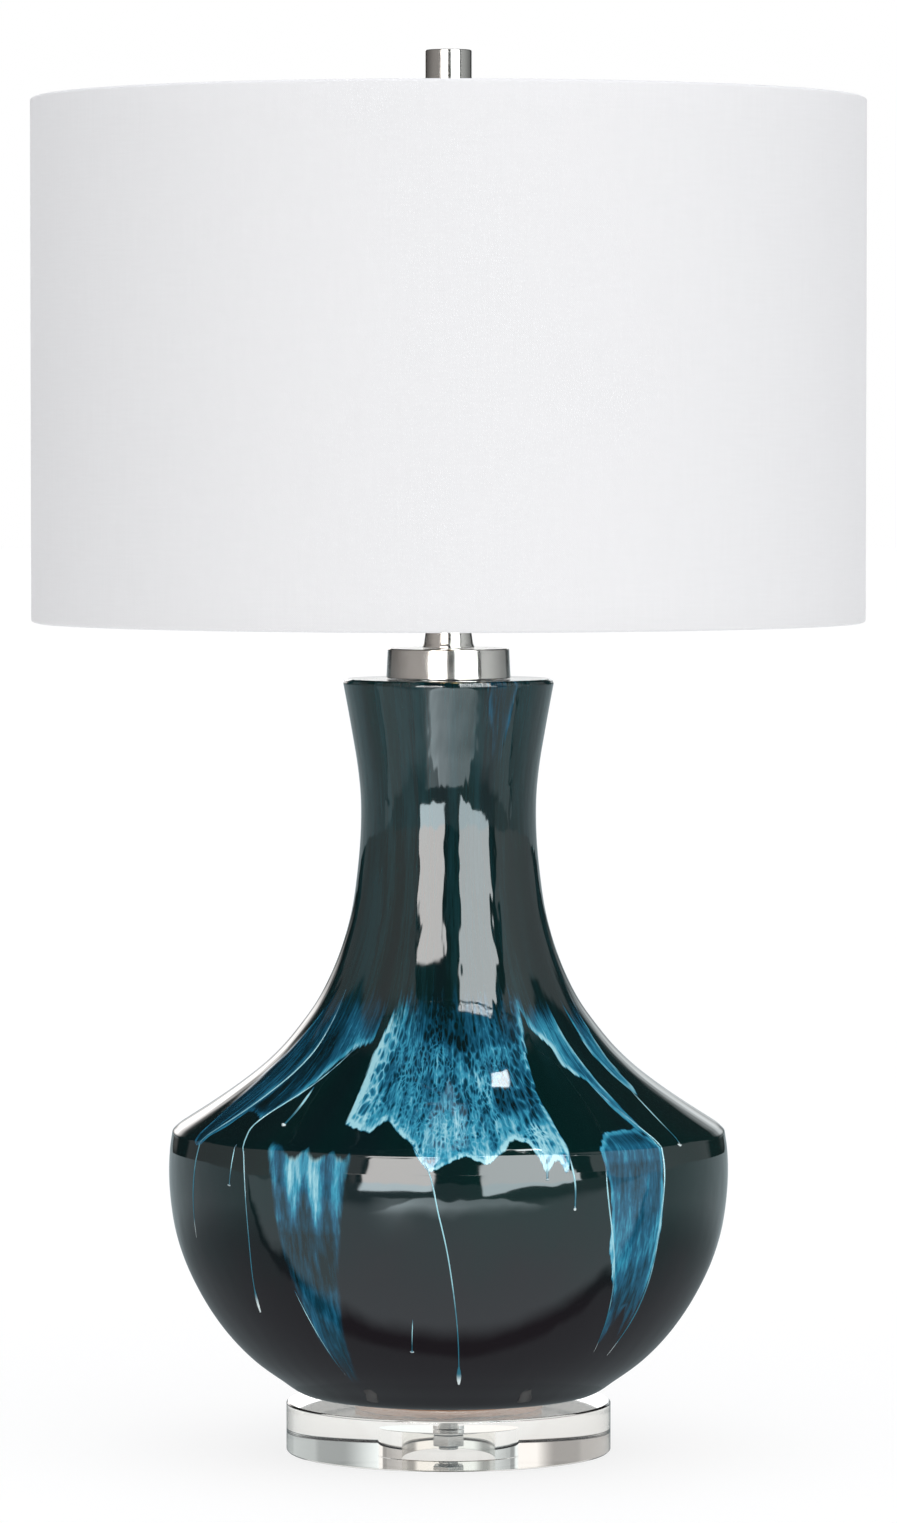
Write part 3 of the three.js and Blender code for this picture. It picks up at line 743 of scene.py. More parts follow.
def turned_metal(name, tint, roughness, spacing=0.00035, groove=0.000002):
    """Metal with the fine rings of a lathe and a faint unevenness in its shine."""
    material, graph, shader = new_material(name, Metallic=1.0)
    lines = graph.add("ShaderNodeGroup", node_tree=shared("Turned Lines", turned_lines_group))
    lines.inputs["Spacing"].default_value = spacing
    tone = graph.mix(lines.outputs["Smudge"], scaled(tint, 0.9), scaled(tint, 1.08))
    shine = graph.ramp(lines.outputs["Smudge"], 0.3, 0.7, roughness * 0.8, roughness * 1.25)
    ringed = graph.plus(shine, graph.ramp(lines.outputs["Lines"], 0.3, 0.7, -0.02, 0.03))
    normal = bump(graph, lines.outputs["Lines"], groove, 0.6)
    join(graph, shader, Base_Color=tone, Roughness=ringed, Normal=normal)
    return material


def grained(name, tint, roughness, grain=0.0004, depth=0.00002, contrast=0.08, **values):
    """Paint, plastic or rubber with a fine grain."""
    material, graph, shader = new_material(name, **values)
    fine = graph.add("ShaderNodeGroup", node_tree=shared("Fine Grain", fine_grain_group))
    fine.inputs["Grain Size"].default_value = grain
    tone = graph.mix(fine.outputs["Patches"], scaled(tint, 1 - contrast), scaled(tint, 1 + contrast))
    shine = graph.ramp(fine.outputs["Patches"], 0.3, 0.7, roughness * 0.85, roughness * 1.15)
    normal = bump(graph, fine.outputs["Grain"], depth, 0.5)
    join(graph, shader, Base_Color=tone, Roughness=shine, Normal=normal)
    return material


def cloth_material(shade):
    """White cotton and linen cloth, stretched smooth over the liner."""
    material, graph, shader = new_material(
        "Shade Cloth", Roughness=0.92, Sheen_Weight=0.25, Sheen_Roughness=0.5, Specular_IOR_Level=0.2
    )
    weave = graph.add("ShaderNodeGroup", node_tree=shared("Plain Weave", weave_group))
    weave.inputs["Around"].default_value = TURN * CAD_BOX[1][0]
    weave.inputs["Pitch"].default_value = shade.thread
    threads = graph.ramp(weave.outputs["Height"], -1.0, 1.0, kind="LINEAR")
    slubs = graph.ramp(weave.outputs["Slubs"], 0.75, 1.25, kind="LINEAR")
    tone = graph.mix(threads, scaled(shade.cloth, 0.965), scaled(shade.cloth, 1.015))
    toned = graph.mix(graph.times(slubs, 0.45), tone, scaled(shade.cloth, 1.035))
    woven = bump(graph, weave.outputs["Height"], 0.00006, 0.4)
    normal = bump(graph, weave.outputs["Slubs"], 0.00008, 0.3, woven)
    join(graph, shader, Base_Color=toned, Normal=normal)
    clear_in_mirrors(graph, shader)
    return material


def mirror_share(graph):
    """1 for rays that were mirrored by a polished surface, and 0 for all others."""
    path = graph.add("ShaderNodeLightPath")
    glossy, refracted = (path.outputs[name] for name in ("Is Glossy Ray", "Is Transmission Ray"))
    return graph.math("SUBTRACT", glossy, refracted, clamp=True)


def clear_in_mirrors(graph, shader):
    """Lets mirrored rays pass, so that the glaze and the metal stay dark under the shade."""
    through = graph.add("ShaderNodeBsdfTransparent")
    graph.show(graph.blended(mirror_share(graph), shader, through))


def styrene_material(shade):
    """Smooth white sheet, with the faint waviness of a rolled plastic."""
    material = grained("Shade Liner", shade.liner, 0.38, 0.004, 0.00006, 0.02)
    clear_in_mirrors(Graph(material.node_tree), material.node_tree.nodes["Principled BSDF"])
    return material


def acrylic_material():
    """Clear cast acrylic. Light passes through it to the table, so that its shadow stays light."""
    material, graph, shader = new_material(
        "Clear Acrylic", Base_Color=(0.945, 0.935, 0.90), Roughness=0.0, IOR=1.49, Transmission_Weight=1.0
    )
    where = graph.add("ShaderNodeTexCoord").outputs["Object"]
    normal = bump(graph, graph.noise(where, 45.0, 2.0), 0.00003, 0.25)
    join(graph, shader, Normal=normal)
    through = graph.add("ShaderNodeBsdfTransparent", {"Color": (0.93, 0.94, 0.935, 1.0)})
    path = graph.add("ShaderNodeLightPath")
    light = graph.math("MAXIMUM", path.outputs["Is Shadow Ray"], path.outputs["Is Diffuse Ray"])
    first = graph.math("LESS_THAN", path.outputs["Transmission Depth"], 0.5)
    light = graph.math("MAXIMUM", light, graph.times(mirror_share(graph), first))
    graph.show(graph.blended(light, shader, through))
    return material


# ---------------------------------------------------------------- glaze


# The blue glaze of each run, as an outline of (degrees from the front, height in mm) points, with
# how cellular it is, how light, the heights between which it fades in from above and out below, and
# how soft its edge is where it isn't crisp.
RUNS = {
    "skirt": {
        "outline": [
            (-17, 252), (-24, 224), (-27, 203), (-25, 171), (-18, 168), (-15, 174), (-8, 164), (-4, 151),
            (3, 159), (8, 155), (14, 166), (17, 164), (20, 150), (22, 157), (25, 146), (26, 186),
            (28, 199), (33, 226), (30, 252),
        ],
        "cells": 1.0, "tone": 0.56, "fade_in": (248, 196), "fade_out": (0, -1),
    },
    "left wing": {
        "outline": [
            (-61, 245), (-71, 207), (-75, 190), (-64, 156), (-61, 158), (-57, 173), (-50, 171), (-44, 184),
            (-41, 194), (-35, 204), (-29, 207), (-26, 232), (-28, 246),
        ],
        "cells": 0.2, "tone": 0.22, "fade_in": (242, 205), "fade_out": (0, -1), "soft": 0.12,
    },
    "left fall": {
        "outline": [
            (-40, 164), (-36, 108), (-31, 44), (-26, 44), (-23, 100), (-20, 160), (-22, 156), (-24, 161),
            (-28, 156), (-30, 162), (-33, 156), (-36, 161),
        ],
        "cells": 0.0, "tone": 0.24, "fade_in": (166, 158), "fade_out": (90, 24), "soft": 0.55,
    },
    "right stream": {
        "outline": [
            (31, 232), (34, 213), (40, 204), (40, 196), (45, 188), (46, 168), (48, 158), (49, 170),
            (50, 193), (49, 212), (50, 236),
        ],
        "cells": 0.25, "tone": 0.52, "fade_in": (238, 203), "fade_out": (0, -1),
    },
    "right band": {
        "outline": [
            (32, 160), (36, 167), (46, 168), (49, 158), (48, 100), (48, 82), (46, 56), (43, 82),
            (40, 59), (38, 90), (35, 110), (34, 140),
        ],
        "cells": 0.1, "tone": 0.41, "fade_in": (170, 167), "fade_out": (112, 44),
    },
    "far right stream": {
        "outline": [(61, 236), (58, 200), (61, 180), (64, 184), (66, 196), (76, 236)],
        "cells": 0.3, "tone": 0.42, "fade_in": (236, 200), "fade_out": (0, -1),
    },
    "neck streak": {
        "outline": [(20, 381), (26, 350), (31, 322), (34, 340), (42, 381)],
        "cells": 0.0, "tone": 0.12, "fade_in": (430, 330), "fade_out": (372, 312),
    },
}

# Lighter and darker parts inside the runs, as (outline, how much lighter).
GLEAMS = [
    ([(-40, 164), (-36, 127), (-36, 140), (-38, 162)], 0.50),
    ([(-35, 164), (-35, 150), (-33, 122), (-31, 136), (-31, 164)], 0.56),
    ([(-30, 164), (-30, 148), (-27, 117), (-26, 132), (-26, 164)], 0.54),
    ([(-24, 162), (-23, 112), (-21, 160)], 0.34),
    ([(-38, 122), (-22, 122), (-23, 94), (-36, 94)], -0.18),
    ([(-35, 90), (-34, 88), (-29, 46), (-30, 44)], 0.26),
    ([(-29, 92), (-25, 92), (-27, 56)], 0.10),
    ([(-62, 240), (-72, 206), (-75, 190), (-64, 168), (-60, 184), (-57, 204), (-57, 240)], 0.06),
    ([(-57, 226), (-53, 226), (-53, 204), (-57, 179), (-62, 158), (-61, 168), (-59, 192), (-56, 204)], 0.34),
    ([(-46, 226), (-40, 226), (-33, 208), (-41, 192), (-48, 177), (-44, 196)], 0.30),
    ([(-21, 232), (-27, 205), (-26, 172), (-20, 169), (-18, 178), (-20, 196), (-18, 222)], 0.34),
    ([(-15, 248), (27, 248), (25, 208), (8, 203), (-12, 210)], -0.20),
    ([(3, 192), (8, 196), (13, 193), (13, 184), (10, 177), (4, 184)], 0.16),
    ([(12, 188), (17, 188), (18, 180), (15, 175), (12, 180)], -0.30),
    ([(-12, 190), (-6, 194), (-2, 186), (-3, 176), (-8, 172), (-13, 178)], -0.14),
    ([(18, 172), (24, 172), (26, 156), (20, 152)], 0.22),
    ([(33, 162), (47, 162), (47, 153), (33, 153)], 0.16),
]

# Thin threads of pale glaze, as a few (degrees from the front, height in mm) points from the top
# down for a smooth line, with their radius in mm and the size of the drop at the end.
THREADS = [
    ([(-56, 230), (-54, 204), (-58, 180), (-62, 159), (-64, 136), (-65, 112)], 0.6, 0.0),
    ([(-35, 205), (-43, 187), (-50, 170), (-46, 155), (-45, 115), (-48, 79)], 0.42, 1.0),
    ([(-42, 186), (-41, 176), (-41, 169)], 0.8, 1.7),
    ([(-49, 160), (-50, 140)], 0.35, 1.5),
    ([(-8, 165), (-4, 152), (-2, 132), (0, 110), (2, 76), (3, 46)], 0.42, 1.4),
    ([(25, 158), (26, 145), (26, 132)], 0.6, 1.0),
    ([(20, 157), (20, 147)], 0.9, 1.6),
    ([(46, 186), (49, 154), (48, 120), (48, 82), (46, 57)], 0.6, 0.0),
    ([(33, 157), (34, 132), (38, 90), (40, 60)], 0.45, 0.0),
    ([(61, 184), (57, 168), (55, 158)], 0.35, 1.7),
    ([(-8, 80), (-9, 63)], 0.25, 1.2),
    ([(-35, 92), (-30, 48)], 0.3, 0.0),
]
THREAD_STEPS = 60  # points along each thread
DROP_AT = 0.97  # share of the way down a thread where its drop is thickest
DROP_REACH = 0.035  # how far the drop goes up and down from there, as the same share

# Where the runs and threads come again round the vase: the turn in degrees, -1 for mirrored, and
# how wide they are beside the first.
PLACES = [(0, 1, 1.0), (147, -1, 0.67), (-147, 1, 0.66)]

GLAZE_TOP = 372  # mm: the lip's round starts above this
GLAZE_FOOT = 40  # mm: the runs' relief ends above this


def run_distance(around, height, outline):
    """How far, in mm, each point lies inside an outline. Points outside count below zero."""
    corners = np.array(outline, float)
    onward = np.roll(corners, -1, axis=0)
    nearest = np.full(around.shape, 1e9)
    inside = np.zeros(around.shape, bool)
    for (ax, ay), (bx, by) in zip(corners, onward):
        edge_x, edge_y = bx - ax, by - ay
        share = ((around - ax) * edge_x + (height - ay) * edge_y) / (edge_x**2 + edge_y**2)
        share = np.clip(share, 0, 1)
        gap = np.hypot(around - ax - share * edge_x, height - ay - share * edge_y)
        nearest = np.minimum(nearest, gap)
        crosses = (ay > height) != (by > height)
        level = np.where(by == ay, 1e-9, by - ay)
        inside ^= crosses & (around < (bx - ax) * (height - ay) / level + ax)
    return np.where(inside, nearest, -nearest)


def lay_runs(angle, height, radius):
    """The glaze at each point of the vase: mm inside a run, cells, tone, cover and softness of its edge."""
    inside = np.full(angle.shape, -99.0)
    heaviest = inside.copy()
    cells, tone, cover, gleam, soft = (np.zeros(angle.shape) for _ in range(5))

    def reach_inside(outline, local):
        shape = [(math.radians(a) * 100, z) for a, z in outline]
        return run_distance(np.radians(local) * 100, height, shape) * np.clip(radius / 100, 0.5, 1.4)

    for turn, mirror, narrower in PLACES:
        local = (angle - turn + 180) % 360 - 180
        local = local * mirror / narrower
        for outline, lighter in GLEAMS:
            gleam += lighter * np.clip(reach_inside(outline, local) / 3 + 0.4, 0, 1)
        for run in RUNS.values():
            reach = reach_inside(run["outline"], local)
            top, full = run["fade_in"]
            start, end = run["fade_out"]
            faded = np.clip((top - height) / (top - full), 0, 1)
            faded *= np.clip((height - end) / (start - end), 0, 1)
            weight = np.where(reach > 0, reach * (0.1 + faded), reach)
            wins = weight > heaviest
            heaviest = np.where(wins, weight, heaviest)
            inside = np.where(wins, reach, inside)
            cells = np.where(wins, run["cells"], cells)
            tone = np.where(wins, run["tone"], tone)
            cover = np.where(wins, faded, cover)
            soft = np.where(wins, run.get("soft", 0.0), soft)
    return inside, cells, tone + gleam, cover, soft


def glaze_waves(angle, height):
    """The uneven thickness of the glaze, from -1 to 1."""
    parts = [(3, 0.031, 0.4, 1.0), (7, 0.052, 1.9, 0.8), (11, -0.043, 4.2, 0.7), (5, 0.110, 2.6, 0.6),
             (17, 0.074, 5.1, 0.45), (23, -0.150, 0.8, 0.3)]
    turn = np.radians(angle)
    total = sum(size * np.sin(k * turn + m * height + phase) for k, m, phase, size in parts)
    return total / sum(size for *_, size in parts)


def glaze_vase(obj, outline, glaze):
    """Stores the glaze on the vase's mesh and gives the runs their thickness."""
    mesh = obj.data
    count = len(mesh.vertices)
    spots = np.zeros(count * 3)
    mesh.vertices.foreach_get("co", spots)
    spots = spots.reshape(-1, 3)
    radius = np.hypot(spots[:, 0], spots[:, 1]) / MM
    angle = np.degrees(np.arctan2(spots[:, 0], -spots[:, 1]))
    height = spots[:, 2] / MM
    inside, cells, tone, cover, soft = lay_runs(angle, height, radius)
    skin = np.abs(radius - radius_at(outline, spots[:, 2]) / MM) < 0.5
    ease = np.clip((GLAZE_TOP - height) / 8, 0, 1) * np.clip((height - GLAZE_FOOT) / 8, 0, 1) * skin
    swell = np.clip(inside / (1.5 + 3 * soft), 0, 1) * np.clip(cover * 2, 0, 1)
    lift = (glaze.relief * swell + glaze.wave * glaze_waves(angle, height)) * ease
    spots[:, :2] *= (1 + lift / np.maximum(radius * MM, 1e-4))[:, None]
    mesh.vertices.foreach_set("co", spots.ravel())
    around = np.stack([np.sin(np.radians(angle)), -np.cos(np.radians(angle)), height / 90], axis=1)
    stored = {"inside": inside, "cells": cells, "tone": tone, "cover": cover, "soft": soft}
    for name, values in stored.items():
        layer = mesh.attributes.new(name, "FLOAT", "POINT")
        layer.data.foreach_set("value", values.astype(np.float32))
    layer = mesh.attributes.new("round", "FLOAT_VECTOR", "POINT")
    layer.data.foreach_set("vector", around.astype(np.float32).ravel())
    mesh.update()


def glaze_material(glaze):
    """Gloss glaze: near black, with blue runs that break into cells and hair-fine streaks."""
    material, graph, shader = new_material("Run Glaze", IOR=1.56)
    where = graph.vector("SCALE", graph.attribute("round", "Vector"))
    where.node.inputs["Scale"].default_value = 0.09
    inside = graph.attribute("inside")
    cells = graph.attribute("cells")
    tone = graph.attribute("tone")
    cover = graph.attribute("cover")

    drawn = graph.add("ShaderNodeMapping", {"Vector": where, "Scale": (1.0, 1.0, 0.5)}).outputs[0]
    long = graph.add("ShaderNodeMapping", {"Vector": where, "Scale": (1.0, 1.0, 0.11)}).outputs[0]
    bend = graph.add("ShaderNodeTexNoise", {"Vector": drawn, "Scale": 160.0, "Detail": 2.0}).outputs["Color"]
    offset = graph.vector("SCALE", graph.vector("SUBTRACT", bend, (0.5, 0.5, 0.5)))
    offset.node.inputs["Scale"].default_value = 0.0050
    bent = graph.vector("ADD", drawn, offset)

    broad = graph.noise(drawn, 42.0, 3.0, 0.6)
    streak = graph.noise(long, 420.0, 4.0, 0.62)
    hair = graph.noise(long, 1100.0, 3.0, 0.6)
    size = 1 / glaze.cell
    patch = graph.ramp(graph.noise(drawn, 70.0, 1.0), 0.42, 0.58)

    def cell(feature):
        sizes = [
            graph.add("ShaderNodeTexVoronoi", {"Vector": bent, "Scale": share * size}, feature=feature)
            for share in (0.95, 1.7)
        ]
        return graph.chosen(patch, sizes[0].outputs[0], sizes[1].outputs[0])

    holes = cell("F1")
    net = cell("DISTANCE_TO_EDGE")

    ragged = graph.drifted(inside, streak, 3.4)
    ragged = graph.drifted(ragged, broad, 2.4)
    soft = graph.attribute("soft")
    mask = graph.ramp(ragged, -0.2, graph.plus(0.7, graph.times(soft, 5.0)))
    rim = graph.times(graph.ramp(ragged, 0.0, 0.8), graph.ramp(ragged, 1.2, 3.4, 1.0, 0.0))
    rim = graph.times(rim, graph.math("SUBTRACT", 1.0, soft))
    fade = graph.drifted(graph.times(cover, 1.35), streak, 1.3)
    alpha = graph.times(mask, graph.ramp(fade, 0.42, 0.95))

    pore = graph.drifted(holes, broad, 0.75)
    hole = graph.times(graph.ramp(pore, 0.20, 0.50, 1.0, 0.0), cells)
    web = graph.times(graph.ramp(net, 0.0, 0.20, 1.0, 0.0), cells)

    level = graph.drifted(tone, broad, 0.9)
    level = graph.drifted(level, streak, 0.85)
    level = graph.drifted(level, hair, 0.6)
    level = graph.plus(level, graph.times(rim, 0.32))
    level = graph.plus(level, graph.times(web, 0.13))
    level = graph.math("SUBTRACT", level, graph.times(hole, 0.30))
    level = graph.math("MULTIPLY", level, graph.ramp(cover, 0.1, 0.95, 0.42, 1.0), clamp=True)

    ramp = graph.add("ShaderNodeValToRGB", {"Fac": level})
    tints = (glaze.base, glaze.deep, glaze.blue, glaze.cyan, glaze.pale)
    stops = list(zip((0.0, 0.24, 0.48, 0.72, 1.0), tints))
    for _ in range(len(stops) - 2):
        ramp.color_ramp.elements.new(0.5)
    for element, (position, tint) in zip(ramp.color_ramp.elements, stops):
        element.position = position
        element.color = rgba(tint)

    spot = graph.add("ShaderNodeTexCoord").outputs["Object"]
    rise = graph.add("ShaderNodeSeparateXYZ", {"Vector": spot}).outputs["Z"]
    cast = graph.ramp(graph.noise(long, 30.0, 3.0), 0.35, 0.65)
    ground = graph.mix(cast, glaze.base, glaze.green)
    low = graph.drifted(rise, broad, 0.06)
    ground = graph.mix(graph.ramp(low, 0.075, 0.150, 1.0, 0.0), ground, glaze.umber)
    vein = graph.plus(graph.times(graph.noise(long, 55.0, 3.0), 0.65), graph.times(streak, 0.35))
    vein = graph.times(graph.ramp(vein, 0.42, 0.66), graph.ramp(rise, 0.165, 0.240))
    ground = graph.mix(vein, ground, glaze.teal)
    glazed = graph.mix(alpha, ground, ramp.outputs["Color"])

    edge = graph.plus(rise, graph.times(graph.noise(where, 60.0, 3.0), 0.0016))
    bare = graph.ramp(edge, 0.0294, 0.0297, 1.0, 0.0)
    grit = graph.noise(spot, 900.0, 4.0, 0.7)
    clay = graph.mix(grit, scaled(glaze.clay, 0.8), scaled(glaze.clay, 1.15))
    tinted = graph.mix(bare, glazed, clay)
    rough = graph.ramp(bare, 0.0, 1.0, 0.045, 0.85)
    skin = graph.noise(drawn, 120.0, 1.0, 0.4)
    roll = graph.ramp(rise, 0.1500, 0.1580, 1.0, 0.0, "LINEAR")
    normal = bump(graph, skin, 0.00030, 0.6, bump(graph, roll, 0.0015))
    join(graph, shader, Base_Color=tinted, Roughness=rough, Normal=normal)
    return material


def thread_material(glaze):
    """The pale glaze of the thin threads, which sinks into the dark glaze at their upper ends."""
    material, graph, shader = new_material("Thread Glaze", Roughness=0.06, IOR=1.56)
    along = graph.attribute("along")
    where = graph.add("ShaderNodeTexCoord").outputs["Object"]
    uneven = graph.drifted(along, graph.noise(where, 120.0), 0.5)
    upper = graph.mix(graph.ramp(uneven, 0.0, 0.22), glaze.blue, glaze.pale)
    middle = graph.mix(graph.ramp(uneven, 0.35, 0.8), upper, scaled(glaze.cyan, 0.42))
    tone = graph.mix(graph.ramp(along, 0.93, 0.98), middle, (0.74, 0.84, 0.85))
    join(graph, shader, Base_Color=tone)
    return material


def surface_point(outline, degrees, height, sink):
    """A point on the vase, sunk below its surface by a distance in mm."""
    radius = float(radius_at(outline, height * MM)) - sink * MM
    turn = math.radians(degrees)
    return Vector((radius * math.sin(turn), -radius * math.cos(turn), height * MM))


def thread_paths(outline):
    """The centre lines of the threads, with how thick each is on the way."""
    paths = []
    for turn, mirror, narrower in PLACES:
        for route, radius, drop in THREADS:
            fine = smooth_path([Vector((a, z, 0)) for a, z in route], THREAD_STEPS // (len(route) - 1))
            last = len(fine) - 1
            path = []
            for i, spot in enumerate(fine):
                share = i / last
                swell = min(1.0, 0.25 + 3 * share) * (1.0 if drop else min(1.0, 0.1 + 4 * (1 - share)))
                bulb = max(0.0, 1 - ((share - DROP_AT) / DROP_REACH) ** 2) * max(drop - radius, 0)
                thick = radius * swell * (1 - 0.4 * share) + bulb
                degrees = turn + mirror * narrower * spot.x
                path.append((surface_point(outline, degrees, spot.y, 0.45 * thick - 0.1), thick * MM))
            paths.append(path)
    return paths


# ---------------------------------------------------------------- operators


class LAMP_OT_stage(Operator):
    """Makes the floor, the light and the camera"""

    bl_idname = "lamp.stage"
    bl_label = "Stage"

    def execute(self, context):
        stage = context.scene.lamp_stage
        build_floor(stage)
        build_world(stage)
        build_camera()
        return {"FINISHED"}


# Where things stand that polished surfaces mirror, as the degrees from the front between which they lie.
LEFT_BOX = (-36.0, -5.0)
RIGHT_BOX = (14.0, 55.0)
DARK_FRONT = (-38.0, 64.0)
SIDE_FLAGS = (138.0, 171.0)
SKYLIGHT = (100.0, 128.0)


def build_floor(stage):
    """A broad pale floor."""
    half = 30.0
    corners = [(-half, -half, 0), (half, -half, 0), (half, half, 0), (-half, half, 0)]
    floor = new_object("Floor", corners, [(0, 1, 2, 3)], smooth=False)
    floor.data.materials.append(floor_material(stage))


def floor_material(stage):
    """A pale floor that glows a little, so that shadows on it stay faint. In the lamp's polished surfaces it
    shows painted light and shade: dim, with a painted shadow near the lamp, a lit part in front of it, and
    painted softbox panes farther out."""
    material, graph, shader = new_material("Floor", Roughness=0.7)
    where = graph.add("ShaderNodeTexCoord").outputs["Object"]
    tone = graph.mix(graph.noise(where, 40.0, 3.0), scaled(stage.floor, 0.995), scaled(stage.floor, 1.005))
    join(graph, shader, Base_Color=tone)
    glow = graph.add("ShaderNodeEmission", {"Color": (1.0, 1.0, 1.0, 1.0), "Strength": 1.05})
    pale = graph.blended(0.78, shader, glow)
    # Below is painted light and shade on the floor, which only mirrored rays see.
    parts = graph.add("ShaderNodeSeparateXYZ", {"Vector": where})
    right = parts.outputs["X"]
    ahead = graph.times(parts.outputs["Y"], -1.0)
    turn = graph.times(graph.math("ARCTAN2", right, ahead), 180 / math.pi)
    wavy = graph.plus(ahead, graph.times(graph.noise(where, 9.0, 2.0), 0.02))
    torn = graph.plus(ahead, graph.times(graph.noise(where, 16.0, 4.0, 0.7), 0.16))
    # A painted lit strip ahead of the lamp, beyond the edge of a painted shadow.
    lit = graph.times(graph.ramp(wavy, 0.135, 0.165), graph.ramp(ahead, 0.6, 1.1, 0.90, 0.28))
    taper = graph.math("ABSOLUTE", graph.math("SUBTRACT", right, 0.09))
    taper = graph.plus(taper, graph.times(ahead, 0.10))
    # A painted bright sheet farther ahead.
    sheet = graph.times(graph.ramp(ahead, 0.60, 1.0), graph.ramp(torn, 1.40, 1.43, 1.0, 0.0))
    sheet = graph.times(sheet, graph.ramp(taper, 0.50, 0.54, 1.0, 0.0))
    sheet = graph.times(sheet, graph.ramp(turn, -12.0, 10.0, 3.8, 2.4))
    # A painted bright spot at the left front.
    spot = graph.times(graph.window(turn, -24.0, -17.0, 9.0), graph.ramp(ahead, 0.34, 0.95, 0.0, 2.6))
    spot = graph.times(spot, graph.ramp(torn, 1.38, 1.43, 1.0, 0.0))
    lit = graph.plus(lit, graph.plus(sheet, spot))
    # Painted reflections of the two softboxes' panes, far out on the floor.
    left_pane = graph.times(graph.window(turn, *LEFT_BOX, 0.7), graph.ramp(torn, 2.5, 2.6, 0.0, 1.15))
    pane_edge = graph.math("SUBTRACT", torn, graph.ramp(turn, 16.0, 56.0, 0.0, 3.0, "LINEAR"))
    right_pane = graph.times(graph.window(turn, *RIGHT_BOX, 0.7), graph.ramp(pane_edge, 1.8, 1.9, 0.0, 0.95))
    panes = graph.times(graph.plus(left_pane, right_pane), stage.softbox)
    # A painted dark line along the edge of the painted shadow.
    line = graph.ramp(graph.window(wavy, 0.124, 0.146, 0.008), 0.0, 1.0, 1.0, 0.12)
    reach = graph.add("ShaderNodeVectorMath", {0: where}, operation="LENGTH").outputs["Value"]
    # Painted shadow: dim near the lamp, darker far ahead and lighter far to the sides.
    in_front = graph.window(turn, *DARK_FRONT, 2.0)
    at_sides = graph.ramp(reach, 0.35, 0.9, 0.24, 0.50)
    dim = graph.ramp(in_front, 0.0, 1.0, at_sides, graph.ramp(ahead, 0.1, 2.0, 0.24, 0.05))
    shadow = graph.times(dim, line)
    level = graph.math("MAXIMUM", graph.plus(lit, panes), shadow)
    mirrored = graph.add("ShaderNodeEmission", {"Color": (0.81, 0.95, 1.0, 1.0), "Strength": level})
    graph.show(graph.blended(mirror_share(graph), pale, mirrored))
    return material


